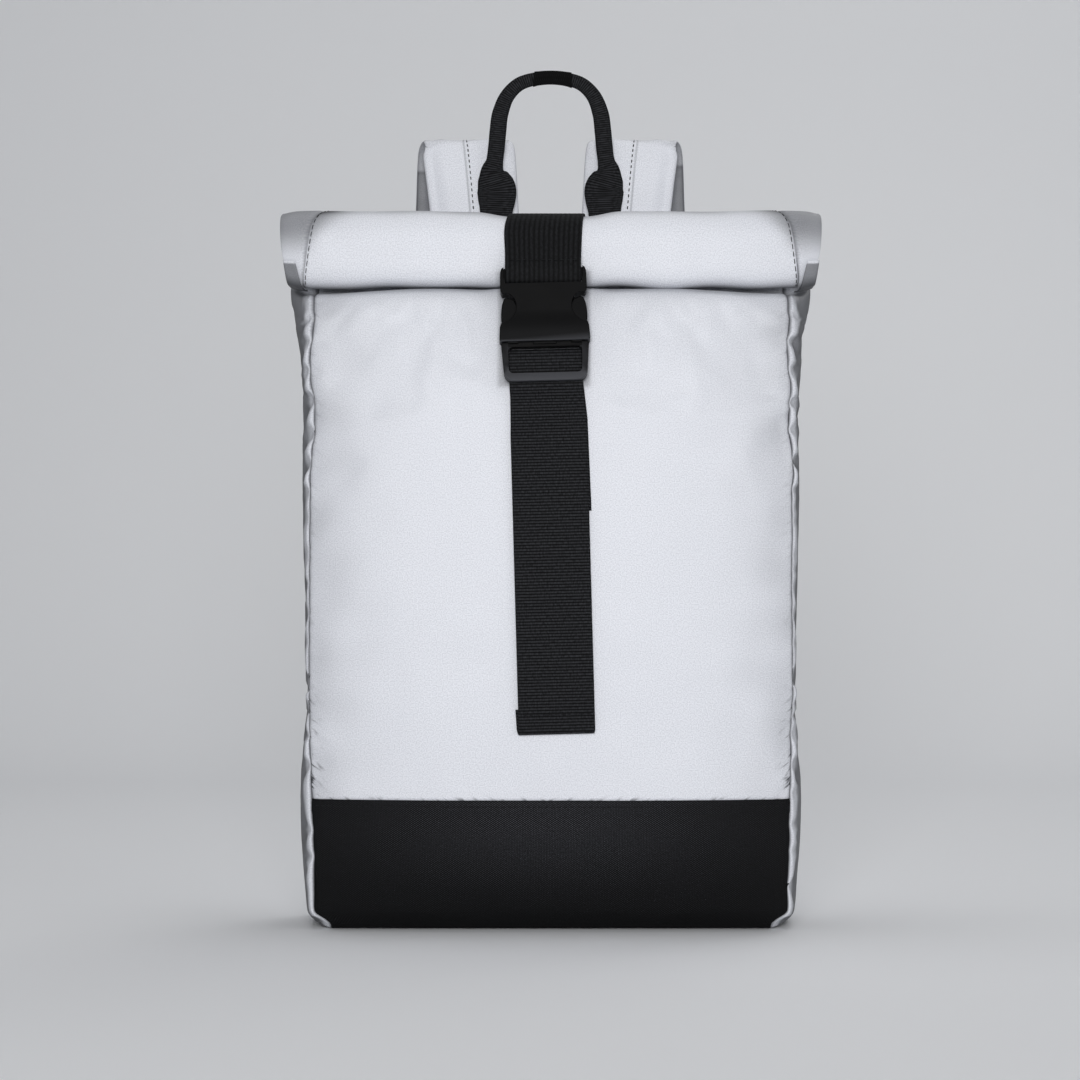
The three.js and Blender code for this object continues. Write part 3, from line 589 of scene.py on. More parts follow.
def makeMouldedPlastic():
    # Acetal moulded in a spark-eroded tool: black with a fine satin texture and soft highlights on edges,
    # and a painted highlight on the edges and faces that catch the light, which the meshes carry as a point
    # attribute.
    material, tree, shader = startMaterial("moulded black acetal")
    where = addNode(tree, "TexCoord")
    onPiece = {"Vector": (where, "Object")}
    texture = addNode(tree, "TexNoise", {"Scale": 1 / acetal["texture"], "Detail": 2.0}, onPiece)
    flow = addNode(tree, "TexNoise", {"Scale": 1 / acetal["flow"], "Detail": 2.0}, onPiece)
    rough = addNode(tree, "MapRange", {"To Min": 0.4, "To Max": 0.58}, {"Value": (flow, "Fac")})
    tint = addNode(tree, "ValToRGB", {"stops": acetal["tints"]}, {"Fac": (texture, "Fac")})
    paintedHighlightMark = addNode(tree, "Attribute", {"attribute_name": "paintedHighlight"})
    mixed = addNode(tree, "Mix", {"data_type": "RGBA", 7: linear(acetal["paintedHighlightMark"])},
                    {0: (paintedHighlightMark, "Fac"), 6: (tint, "Color")})
    bump = addNode(tree, "Bump", {"Strength": 0.2, "Distance": 0.0002}, {"Height": (texture, "Fac")})
    setNode(tree, shader, {"IOR": 1.48, "Specular IOR Level": 0.09},
            {"Base Color": (mixed, 2), "Roughness": (rough, "Result"), "Normal": (bump, "Normal")})
    return material


def makeThread(name, dark, pale):
    # Bonded polyester sewing thread: twisted, so it catches the light in short glints.
    material, tree, shader = startMaterial(name)
    where = addNode(tree, "TexCoord")
    twist = addNode(tree, "TexNoise", {"Scale": 1 / 0.0008, "Detail": 1.0}, {"Vector": (where, "Object")})
    tint = addNode(tree, "ValToRGB", {"stops": [(0, dark), (1, pale)]}, {"Fac": (twist, "Fac")})
    setNode(tree, shader, {"Roughness": 0.5, "Specular IOR Level": 0.12}, {"Base Color": (tint, "Color")})
    return material


reflectiveCloth = makeReflectiveCloth()
blackCloth = makeBlackCloth()
webbing = makeWebbing("black polyester webbing", "Y", 0.0020, "#040405", "#303134")
ribbedWebbing = makeWebbing("black ribbed webbing", "X", 0.0032, "#0c0c0d", "#1e1f21")
mouldedPlastic = makeMouldedPlastic()
blackThread = makeThread("black bonded thread", "#060607", "#1c1d1f")
print("materials made")


# Panels, gussets and base: one ring of cloth, folded at the seams and then cut along them
skin = {
    "panelWidth": 316,
    "gussetWidth": 112,
    "tailMiddle": -3,  # where the tail strap lies on the front
    "paintedLighting": (-4.4, 28, 360, 434),  # where painted shadow rings the buckle on the cloth: middle, half its width, height
    "rowPitch": 2.1,
    "columnPitch": 3.0,
    "besideSeam": [0, 0.7, 1.5, 2.6, 4.2],
    "clothThick": 0.8,
    "baseThick": 1.4,
    "seamDepth": 1.5,
    "seamReach": 1.5,
    "gatherPitch": 20,
    "gatherSlant": 34,
    # from, to and depth of the rows of gathers beside the front seam
    "gathers": [(16, 84, 0.5), (96, 178, 0.8), (292, 418, 2.8)],
    "handFolds": 0.3,  # share of the gathers that is drawn, beside what the simulation buckles
    "panelUneven": 0.7,
    "rollUneven": 0.9,
    "hem": 9,
    "hemRise": 0.8,
    "hollow": 8,
    "seamWaver": 0.35,
    # creases that start at the seams: side, height, fall towards the middle, reach and depth
    "pinches": [(-1, 152, 0.3, 8, 0.7), (-1, 129, 0.5, 12, 1.0), (-1, 114, 0.4, 9, 0.9),
                (-1, 99, 0.9, 15, 1.1), (1, 158, 0.2, 7, 0.6), (1, 137, 0.5, 10, 0.9),
                (1, 124, 0.6, 7, 0.8), (1, 111, 0.5, 9, 0.9), (1, 98, 1.0, 14, 1.1)],
    "pinchWidth": 2.1,
}
closure = {"x": -5.2, "width": 50, "stitchHeight": 441.5, "lean": 3.2, "corner": 1.8, "spread": 0.8}
places = rowPlaces(skin["rowPitch"])
panelShares = columnShares(skin["panelWidth"], skin["columnPitch"], skin["besideSeam"])
gussetShares = columnShares(skin["gussetWidth"], skin["columnPitch"], skin["besideSeam"])
gussetShares = np.arccos(1 - 2 * gussetShares) / np.pi
rowAngle = np.interp(places, sectionPlace[rollFrom:], rollAngles, left=-1)
inRoll = fadeIn(places, sectionPlace[rollFrom - 2], sectionPlace[rollFrom])[:, None]


def seamDistances(grid):
    steps = np.linalg.norm(np.diff(grid, axis=1), axis=-1)
    reached = np.concatenate([np.zeros((len(grid), 1)), np.cumsum(steps, axis=1)], axis=1)
    return reached, reached[:, -1:] - reached


def gatherStrength(height):
    strength = np.full(height.shape, 0.25)
    for low, high, depth in skin["gathers"]:
        strength += depth * fadeIn(height, low - 14, low + 16) * (1 - fadeIn(height, high - 16, high))
    return strength


def gussetFolds(grid, places, inRoll):
    # diamonds of small folds that the front seam draws into the gusset, dying away from the seam
    fromFront, fromBack = seamDistances(grid)
    along = places[:, None] + 2.2 * ripple(places[:, None], 0, 40, 90, 3)
    number = 2 * np.pi / skin["gatherPitch"]
    strength = gatherStrength(grid[:, :1, 2]) * (1 - inRoll)
    strength = strength * (1 + 0.35 * ripple(places[:, None], 0, 25, 70, 3))
    slant = 2 * np.pi / skin["gatherSlant"]
    folds = 0.65 * np.sin(number * along + slant * fromFront)
    folds += 0.5 * np.sin(number * along - slant * fromFront + 0.9)
    folds += 0.25 * np.sin(2 * number * along + 1.3)
    reach = (1 - np.exp(-fromFront / 3.0)) * bell(fromFront, 21)
    backReach = (1 - np.exp(-fromBack / 3.0)) * bell(fromBack, 14)
    backFolds = np.sin(number * 1.3 * along + 2.0 - slant * fromBack)
    loose = 0.5 * ripple(places[:, None], fromFront, 30, 80, 5) * bell(fromFront - 50, 40) * (1 - inRoll)
    return strength * (folds * reach + 0.3 * backFolds * backReach) + loose


def panelFolds(grid, rolled):
    left, right = seamDistances(grid)
    edge = np.minimum(left, right)
    along = places[:, None]
    x = grid[..., 0]
    uneven = skin["panelUneven"] * ripple(x, along, 60, 150, 6) * (1 - np.exp(-edge / 25)) * (1 - inRoll)
    pucker = 0.35 * np.sin(2 * np.pi * along / 10.5 + 1.5 * ripple(along, 0, 30, 60, 3) + 0.25 * edge)
    if not rolled:
        beside = np.abs(x - skin["tailMiddle"])
        uneven = uneven * fadeIn(beside, 26, 45) - 0.2 * (1 - fadeIn(beside, 24, 30))
    uneven += pucker * np.exp(-edge / 6) * (1 - np.exp(-edge / 1.2)) * (1 - inRoll)
    if rolled:
        crown = bell(rowAngle - 92, 36)[:, None]
        wave = skin["rollUneven"] * ripple(x, along * 0.6, 34, 90, 6) * (1 - 0.75 * crown)
        under = np.exp(-((x - closure["x"]) / (closure["width"] * 0.52)) ** 6)
        turned = fadeIn(rowAngle, 5, 40) * (1 - fadeIn(rowAngle, 300, 350))
        uneven += turned[:, None] * (wave * (1 - under) - 0.7 * under)
        uneven += rollBelly(rowAngle) * (1 - under) * (1 + 0.25 * ripple(x, 0 * along, 40, 120, 4))
    return uneven


def seamPinches(grid):
    distances = dict(zip((-1, 1), seamDistances(grid)))
    height = grid[..., 2]
    total = np.zeros(height.shape)
    for hand, top, fall, reach, depth in skin["pinches"]:
        beside = distances[hand]
        away = (height - top + fall * beside) / skin["pinchWidth"]
        profile = -bell(away, 1) + 0.45 * bell(away - 1.9, 1) + 0.3 * bell(away + 1.9, 1)
        total += depth * profile * bell(beside, reach) * (1 - np.exp(-beside / 1.2))
    return total


def seamGroove(grid):
    left, right = seamDistances(grid)
    depth = skin["seamDepth"] * (1 - 0.55 * inRoll)
    return -depth * bell(np.minimum(left, right), skin["seamReach"])


# Cloth simulation of the standing part: the seams gather spare cloth, which buckles beside them
slack = {
    "pitch": 4.4,
    "growth": 0.1,  # spare cloth in the gathers
    "panelGrowth": 0.012,
    "frames": 26,
    "cap": 5.5,
    "swellSize": 26,  # broader swelling than this is taken out of the folds
    "outwardKept": 0.35,  # share of the folds' reach sideways past the gussets
    "settings": {
        "quality": 7,
        "mass": 0.2,
        "tension_stiffness": 20,
        "compression_stiffness": 20,
        "shear_stiffness": 10,
        "bending_stiffness": 0.35,
        "air_damping": 3,
        "use_pressure": True,
        "uniform_pressure_force": 0.3,
    },
}


def spareCloth(panelGrid, gussetGrid):
    # 0 where the cloth is fullest and 1 where it has no spare, for a panel and for a gusset
    fromFront, fromBack = seamDistances(gussetGrid)
    height = gussetGrid[:, :1, 2]
    full = np.clip(gatherStrength(height) / 2.5, 0.1, 1)
    gathered = full * bell(fromFront, 24) + 0.5 * full * bell(fromBack, 18)
    share = slack["panelGrowth"] / slack["growth"]
    return np.full(panelGrid.shape[:2], 1 - share), 1 - np.clip(gathered + share, 0, 1)


def ringPlace(panels, gussets):
    # where each column lies round the bag, 0 to 4 from the front's left seam
    ends = [panels, 1 + gussets[1:], 2 + panels[1:], 3 + gussets[1:-1]]
    return np.concatenate(ends)


def broadPart(move):
    # the smooth part of the moves, averaged along the rows and round the bag
    reach = int(2 * slack["swellSize"] / slack["pitch"])
    weights = np.exp(-(np.arange(-reach, reach + 1) * slack["pitch"] / slack["swellSize"]) ** 2)
    weights /= weights.sum()
    broad = sum(w * np.roll(move, k - reach, axis=1) for k, w in enumerate(weights))
    rows = len(move)
    padded = np.concatenate([broad[:1].repeat(reach, 0), broad, broad[-1:].repeat(reach, 0)])
    return sum(w * padded[k:k + rows] for k, w in enumerate(weights))


def simulateSlack():
    rows = rowPlaces(slack["pitch"])
    rows = rows[rows <= underRoll + 1e-6]
    panels = np.linspace(0, 1, round(skin["panelWidth"] / slack["pitch"]))
    gussets = np.linspace(0, 1, round(skin["gussetWidth"] / slack["pitch"]))
    gussets = np.arccos(1 - 2 * gussets) / np.pi
    front, right, back, left = ringPoints(rows, panels, gussets)
    spare = joinRing(*[s[..., None] for s in spareCloth(front, right) * 2])
    standing = np.zeros((len(rows), 1))
    seeds = [0.15 * gussetFolds(g, rows, standing)[..., None] for g in (right, left)]
    flat = np.zeros(front.shape[:2] + (1,))
    seed = joinRing(flat, seeds[0], flat, seeds[1])
    start = joinRing(front, right, back, left)
    start = start + ringNormals(start) * seed
    count = start.shape[1]
    cloth = meshPiece("slack", start.reshape(-1, 3), gridFaces(len(rows), count, around=True))
    held = cloth.vertex_groups.new(name="held")
    firm = cloth.vertex_groups.new(name="firm")
    flatPoints = start.reshape(-1, 3)
    order = np.arange(len(flatPoints))
    pinned = (order < 2 * count) | (order >= (len(rows) - 2) * count)
    held.add(np.flatnonzero(pinned).tolist(), 1.0, "REPLACE")
    for index, weight in enumerate(spare.reshape(-1)):
        firm.add([index], float(weight), "REPLACE")
    modifier = cloth.modifiers.new("cloth", "CLOTH")
    settings = modifier.settings
    for key, value in slack["settings"].items():
        setattr(settings, key, value)
    settings.vertex_group_mass = "held"
    settings.vertex_group_shrink = "firm"
    settings.shrink_min = -slack["growth"]
    settings.shrink_max = 0.0
    settings.effector_weights.gravity = 0
    modifier.collision_settings.use_collision = False
    modifier.point_cache.frame_end = slack["frames"]
    for frameNumber in range(1, slack["frames"] + 1):
        bpy.context.scene.frame_set(frameNumber)
    shaped = cloth.evaluated_get(bpy.context.evaluated_depsgraph_get()).data
    moved = np.empty(len(flatPoints) * 3, np.float32)
    shaped.vertices.foreach_get("co", moved)
    bpy.context.scene.frame_set(1)
    bpy.data.objects.remove(cloth)
    move = moved.reshape(start.shape) / millimetre - start
    size = np.linalg.norm(move, axis=-1, keepdims=True)
    most, mean = round(float(size.max()), 1), round(float(size.mean()), 2)
    print("slack cloth moved", most, "mm at most and", mean, "on average")
    move = move - broadPart(move)
    size = np.linalg.norm(move, axis=-1, keepdims=True)
    move *= slack["cap"] * np.tanh(size / slack["cap"]) / np.maximum(size, 1e-6)
    hand = np.sign(start[..., 0])
    sideways = move[..., 0] * hand
    onGusset = fadeIn(np.abs(start[..., 0]), 156, 161)
    move[..., 0] -= hand * onGusset * (1 - slack["outwardKept"]) * np.maximum(sideways, 0)
    # the tail strap lies flat on the front
    beside = np.abs(start[..., :1] - skin["tailMiddle"]) / 30
    under = (1 - fadeIn(beside, 0.85, 1.6)) * (start[..., 1:2] < 0) * fadeIn(start[..., 2:], 105, 135)
    onFront = (start[..., 1:2] < -30) & (np.abs(start[..., :1]) < 156)
    stiff = 0.7 * onFront * (1 - fadeIn(start[..., 2:], 75, 95))
    return rows, ringPlace(panels, gussets), move * (1 - under) * (1 - stiff)


def slackMoves():
    # the simulated moves, carried over to every row and column of the finished ring
    finished = ringPlace(panelShares, gussetShares)
    rows, columns, move = simulateSlack()
    move = curveThrough(rows, move, places) * (places <= rows[-1])[:, None, None]
    around = np.concatenate([columns[-3:] - 4, columns, columns[:3] + 4])
    wrapped = np.concatenate([move[:, -3:], move, move[:, :3]], axis=1)
    return curveThrough(around, wrapped.transpose(1, 0, 2), finished).transpose(1, 0, 2)


def hollowUnderRoll(grid):
    # under the roll's end the gusset sinks beside the front seam, and its fold runs outwards and down
    fromFront = seamDistances(grid)[0]
    beside = fadeIn(fromFront, 0.5, 11) * (1 - fadeIn(fromFront, 20, 46))
    here = bell(places - underRoll, 15)[:, None]
    sunk = grid.copy()
    sunk[..., 2] -= skin["hollow"] * beside * here
    return sunk


def foldedRing():
    front, right, back, left = ringPoints(places, panelShares, gussetShares)
    pushes = [
        panelFolds(front, False) + seamPinches(front) + seamGroove(front),
        skin["handFolds"] * gussetFolds(right, places, inRoll) + seamGroove(right),
        panelFolds(back, True) + seamGroove(back),
        skin["handFolds"] * gussetFolds(left, places, inRoll) + seamGroove(left),
    ]
    right, left = hollowUnderRoll(right), hollowUnderRoll(left)
    ring = joinRing(front, right, back, left)
    ring[..., 2] = liftCrown(ring[..., 0], ring[..., 2])
    push = joinRing(*[p[..., None] for p in pushes])
    standing = fadeIn(ring[..., 2:], 0, body["footRadius"])
    ring = ring + slackMoves()
    for hand, column in ((-1, 0), (1, panelCount - 1)):
        near = bell(np.linalg.norm(ring - ring[:, column:column + 1], axis=-1), 9)
        waver = ripple(places, 0, 24, 70, 5) * gatherStrength(ring[:, column, 2]) * (1 - inRoll[:, 0])
        ring[..., 0] += hand * skin["seamWaver"] * near * waver[:, None]
    return ring + ringNormals(ring) * push * standing


def cutPanel(ring, start, count, fromRow=0):
    columns = (start + np.arange(count)) % ring.shape[1]
    return ring[fromRow:, columns]


panelCount, gussetCount = len(panelShares), len(gussetShares)
ring = foldedRing()
rightFrom = panelCount - 1
backFrom = rightFrom + gussetCount - 1
leftFrom = backFrom + panelCount - 1
frontRow = int(np.argmin(np.abs(places - placeOf[body["baseFront"]])))
backRow = int(np.argmin(np.abs(places - placeOf[body["baseBack"]])))


def gridNormals(grid):
    return unit(np.cross(np.gradient(grid, axis=1), np.gradient(grid, axis=0)))


def besideBuckle(grid):
    x, half, low, high = skin["paintedLighting"]
    away = np.maximum(np.abs(grid[..., 0] - x) - half, 0)
    past = np.maximum(np.abs(grid[..., 2] - (low + high) / 2) - (high - low) / 2, 0)
    return np.hypot(away, past) + 100 * (grid[..., 1] > 0)


def makePanels():
    pieces = {
        "front_cloth": (cutPanel(ring, 0, panelCount, frontRow), "front_panel"),
        "back_cloth": (cutPanel(ring, backFrom, panelCount, backRow), "back_panel"),
        "gusset_cloth_right": (cutPanel(ring, rightFrom, gussetCount), "gusset_right"),
        "gusset_cloth_left": (cutPanel(ring, leftFrom, gussetCount), "gusset_left"),
    }
    for name, (grid, node) in pieces.items():
        piece = gridPiece(name, grid)
        left, right = seamDistances(grid)
        edge = np.minimum(left, right)
        height = grid[..., 2]
        rolled = inRoll[-len(grid):]
        turned = fadeIn(1 - np.abs(gridNormals(grid)[..., 1]), 0.12, 0.92)
        if "gusset" in name:
            # painted shade: the gathers beside the seams stay bright, the cloth between them, turned from the
            # light, is greyed, and on the roll the ends grey towards the top
            bright = 8 + 1.8 * ripple(places[-len(grid):, None], 0, 14, 34, 4)
            fromFront = left if "right" in name else right
            between = fadeIn(edge, bright - 2, bright + 3) * (0.6 - 0.3 * fadeIn(fromFront, 40, 80))
            paintedShade = 0.12 + 0.2 * turned + between
            paintedShade = paintedShade * (1 - rolled) + (0.06 + 0.62 * fadeIn(height, 438, 464)) * rolled
        else:
            # painted shade, greyer towards the seams and where the cloth turns from the front, in uneven
            # patches, and at the roll's ends towards the top
            paintedShade = 0.22 * np.exp(-(edge / 34) ** 1.5) * (1 - 0.6 * rolled) + 0.36 * turned
            paintedShade = paintedShade * (1 + 0.22 * ripple(grid[..., 0], height, 25, 80, 6))
            atEnds = bell(edge, 6 + 8 * fadeIn(height, 455, 474))
            paintedShade += 0.55 * rolled * atEnds * fadeIn(height, 442, 468)
            if name == "front_cloth":
                # painted shade in the crease under the roll
                paintedShade = np.maximum(paintedShade, 0.15 * np.exp(-np.abs(height - 421) / 9))
                # where the material paints short crease shadows: beside the seams low on the front, and along
                # its foot
                pucker = 1.3 * bell(edge, 6.5) * (1 - 0.9 * fadeIn(height, 118, 165))
                pucker = np.maximum(pucker, 0.7 * bell(height - height.min(), 1.8))
                markPoints(piece, "pucker", pucker)
            # painted shadow in a narrow ring round the buckle
            paintedShade = np.maximum(paintedShade, 0.5 * bell(besideBuckle(grid), 2.4))
        # a thin line of painted shadow along every seam
        paintedShade = np.maximum(paintedShade, 0.85 * bell(edge, 0.7) * (1 - 0.5 * rolled))
        markPoints(piece, "paintedShade", np.clip(paintedShade, 0, 1))
        applyModifier(piece, "SOLIDIFY", thickness=skin["clothThick"] * millimetre, offset=-1)
        dress(piece, reflectiveCloth, "reflective_cloth", node)
    print("panels and gussets cut")


def makeBase():
    down = cutPanel(ring, 0, panelCount)[frontRow::-1]
    up = cutPanel(ring, backFrom, panelCount)[:backRow + 1, ::-1]
    shares = np.linspace(0, 1, 28)[1:-1, None, None]
    floor = down[-1] * (1 - shares) + up[0] * shares
    grid = np.concatenate([down, floor, up])
    # the folded hem along the top stands a little proud of the front
    fromTop = lengthAlong(grid[:, panelCount // 2])[:, None]
    hem = skin["hem"]
    rise = skin["hemRise"] * (1 - fadeIn(fromTop, hem - 1, hem + 1.2)) * fadeIn(fromTop, -0.4, 1.2)
    grid = grid - gridNormals(grid) * rise[..., None]
    piece = gridPiece("base_cloth", grid, flip=True)
    # painted light: a paler patch with stronger glints over the middle of the base, towards its top
    paintedLighting = bell(grid[..., 0], 115) * fadeIn(grid[..., 2], 12, 74)
    markPoints(piece, "paintedLighting", 0.12 + 0.75 * paintedLighting)
    applyModifier(piece, "SOLIDIFY", thickness=skin["baseThick"] * millimetre, offset=-1)
    dress(piece, blackCloth, "black_cloth", "base_panel")
    print("base sewn in")
    return grid


makePanels()
baseGrid = makeBase()


# Stitching: each stitch is a short thread that rises between its two needle holes
stitch = {"length": 2.9, "gap": 1.2, "thick": 0.62}


def stitchRow(name, runs, length=stitch["length"], gap=stitch["gap"], thick=stitch["thick"]):
    # each run is a path and the way outwards along it
    half = thick / 2
    spokes = np.arange(5) / 5 * 2 * np.pi
    points, faces = [], []
    for path, outward in runs:
        reached = lengthAlong(path)
        for start in np.arange(gap, reached[-1] - length, length + gap):
            at = start + length * np.array([0, 0.16, 0.5, 0.84, 1.0])
            middle = np.stack([np.interp(at, reached, path[:, k]) for k in range(3)], axis=1)
            up = unit(np.stack([np.interp(at, reached, outward[:, k]) for k in range(3)], axis=1))
            across = np.cross(unit(np.gradient(middle, axis=0)), up)
            middle = middle + up * (np.array([-0.5, 0.1, 0.55, 0.1, -0.5]) * half)[:, None]
            first = len(points)
            points.append(middle[0])
            for k in (1, 2, 3):
                spin = across[k] * np.cos(spokes)[:, None] + up[k] * np.sin(spokes)[:, None]
                points.extend(middle[k] + spin * half)
            points.append(middle[4])
            last = len(points) - 1
            for c in range(5):
                d = (c + 1) % 5
                faces.append([first, first + 1 + c, first + 1 + d])
                faces.append([first + 1 + c, first + 6 + c, first + 6 + d, first + 1 + d])
                faces.append([first + 6 + c, first + 11 + c, first + 11 + d, first + 6 + d])
                faces.append([first + 11 + c, last, first + 11 + d])
    return dress(outwardFaces(meshPiece(name, np.array(points), faces)), blackThread, "webbing")


def stitchPanels():
    normals = ringNormals(ring)
    rows = (rowAngle > 20) & (rowAngle < 250)
    for side, column in (("right", backFrom + 2), ("left", leftFrom - 2)):
        stitchRow("roll_stitches_" + side, [(ring[rows, column], normals[rows, column])], 4.2, 0.7, 0.58)
    fromTop = lengthAlong(baseGrid[:, panelCount // 2])
    normals = -gridNormals(baseGrid)
    row = int(np.argmin(np.abs(fromTop - skin["hem"] / 2)))
    stitchRow("base_hem_stitches", [(baseGrid[row, 3:-3], normals[row, 3:-3])])
    print("panel stitching done")


stitchPanels()


# Webbing: rows and ribs of the weave are in the mesh
web = {"thick": 1.6, "rowPitch": 2.0, "rowHeight": 0.26, "ribPitch": 3.2, "ribHeight": 0.1, "clear": 0.4}
webLie = web["clear"] + web["thick"] / 2  # from what a strap lies on to its middle
buckle = {"x": -4, "lean": 13, "slant": -1.5, "mouthHeight": 387.5, "standOff": 1}
tail = {
    "anchor": 276,
    "end": 132,
    "hem": 15,
    # how far the middle lies aside at the places that makeTailStrap sets out along it
    "drift": [2.6, 1.6, 0, 0, 0.6, 0.9, 1.2, -0.1, -0.6],
}
socket = {
    "depth": (1, 12),
    "slot": (37.4, 41.1),
    "slotHalf": 25.2,
    "cavity": ((-25.5, 25.5), (-5.5, 27), (3, 9.6)),  # the room for the plug: across, up and out
    "barDepth": (3.4, 6.4),
    "barHalf": 26,
    "swell": 0.8,  # how far the collar stands proud of the face
    "collar": [(28.6, -2.3), (29.7, -1.2), (29.2, 7.6), (28.6, 9.2)],
    # edge of the side window, from the collar up to the notch under the shoulder
    "window": [(28.4, 10.2), (24.6, 11.5), (21.3, 13.8), (18.6, 18.5),
               (18.3, 22.5), (19.3, 26.4), (22.1, 29.6), (24.8, 30.6)],
    "shoulder": [(27.2, 30.2), (28.3, 32), (28.4, 36), (28.3, 44), (27.8, 47), (25.5, 49)],
}
plug = {
    "footHalf": 27.4,
    "topHalf": 28.8,
    "reach": (-28.9, -2.7),
    "corner": 6.8,
    "depth": (2.8, 10.4),
    "opening": (24.1, -23.7, -5.2),
    "bar": (-12.9, -8.9, 3.2, 5.6),
    # tongue and bridge that reach into the socket: half width, height, depths and rounding
    "tongues": [(8, 24, (3.6, 9), 0.8), (24.8, 4, (3.3, 8.2), 0.5)],
    "armDepth": (3.2, 10),
    # the release arm's outer edge and its inner one
    "armOuter": [(25, -3.4), (25, 9.5), (27.7, 10.6), (28.3, 14), (28.1, 19), (27.3, 24), (25.9, 27.8)],
    "armInner": [(24.0, 28.2), (19.5, 26.5), (17, 20), (17, -3.4)],
}


def cadFront():
    # the middle of the front panel's outer face, by the straight runs between its sections
    rows = [bodySection(h) for h in body["heights"] if h >= body["footRadius"] and h != body["baseBack"]]
    rows = np.array(rows + [list(r) for r in body["shoulder"]])
    run = np.empty((len(rows), 2))
    run[1:-1] = rows[2:, :2] - rows[:-2, :2]
    run[0], run[-1] = rows[1, :2] - rows[0, :2], rows[-1, :2] - rows[-2, :2]
    run = unit(run)
    return rows[:, :2] - np.stack([run[:, 1], -run[:, 0]], axis=1) * rows[:, 6:7]


frontMiddle = cadFront()


def frontFace(height):
    i = int(np.argmax(frontMiddle[:, 1] > height))
    low, high = frontMiddle[i - 1], frontMiddle[i]
    return low[0] + (high[0] - low[0]) * (height - low[1]) / (high[1] - low[1])


buckleY = frontFace(buckle["mouthHeight"]) - buckle["standOff"]
buckleLean = math.radians(buckle["lean"])
buckleSlant = Matrix.Rotation(math.radians(buckle["slant"]), 4, "Y")
buckleBase = Vector((buckle["x"], buckleY, buckle["mouthHeight"])) * millimetre
buckleFrame = Matrix.Translation(buckleBase) @ buckleSlant @ Matrix.Rotation(math.pi / 2 - buckleLean, 4, "X")


def fromBuckle(out, up):
    y = buckleY + up * math.sin(buckleLean) - out * math.cos(buckleLean)
    z = buckle["mouthHeight"] + up * math.cos(buckleLean) + out * math.sin(buckleLean)
    return [y, z]


def aroundBar(out, up, radius, fromAngle, toAngle):
    angles = np.radians(np.linspace(fromAngle, toAngle, 9))
    return [fromBuckle(out + radius * math.cos(a), up + radius * math.sin(a)) for a in angles]


def smoothLine(points, step):
    points = np.asarray(points, float)
    reached = lengthAlong(points)
    count = max(2, round(reached[-1] / step))
    return curveThrough(reached, points, np.linspace(0, reached[-1], count + 1))


def wovenRows(along, across):
    # rows of yarn across the strap
    return web["rowHeight"] * (np.abs(np.sin(np.pi * along / web["rowPitch"])) ** 0.7 - 0.6) + 0 * across


def wovenRibs(along, across):
    # ribs along the strap, with the rows showing faintly through them
    sway = across + 0.8 * np.sin(along / 7) + 0.05 * along
    ribs = np.abs(np.sin(np.pi * sway / web["ribPitch"])) ** 0.8 - 0.6
    return web["ribHeight"] * ribs + 0.3 * wovenRows(along, across)


def ribbonPiece(name, line, width, relief, x=0.0, pitch=2.5, drift=None, axes=(0, 1, 2), inset=0.0):
    # a strap of webbing with round selvedges, from the line that its middle follows in the YZ plane,
    # or with other axes for its width and for the line's two directions
    side = rightOf(line)
    along = lengthAlong(line)
    half = width / 2
    thick = web["thick"] / 2
    edge = np.array([0, 0.12, 0.4, 0.8, 1.4])
    inner = np.linspace(-half + 2.2, half - 2.2, max(3, round((width - 4.4) / pitch)))
    across = np.concatenate([-half + edge, inner, (half - edge)[::-1]])
    rounding = np.sqrt(1 - (np.clip(np.abs(across) - half + 1.0, 0, 1)) ** 2)
    faceX = np.concatenate([across, across[-2:0:-1]])
    faceSide = np.concatenate([np.ones(len(across)), -np.ones(len(across) - 2)])
    faceRound = np.concatenate([rounding, rounding[-2:0:-1]])
    height = thick - 0.12 + relief(along[:, None], faceX[None, :])
    offset = faceSide * faceRound * height
    shift = 0 if drift is None else np.interp(along, *drift)[:, None]
    narrow = 1 - np.broadcast_to(inset, along.shape)[:, None] / half
    points = np.empty((len(line), len(faceX), 3))
    points[..., axes[0]] = x + faceX * narrow + shift
    points[..., axes[1:]] = line[:, None, :] + side[:, None, :] * offset[..., None]
    return loftPiece(name, points, along, faceX + half)


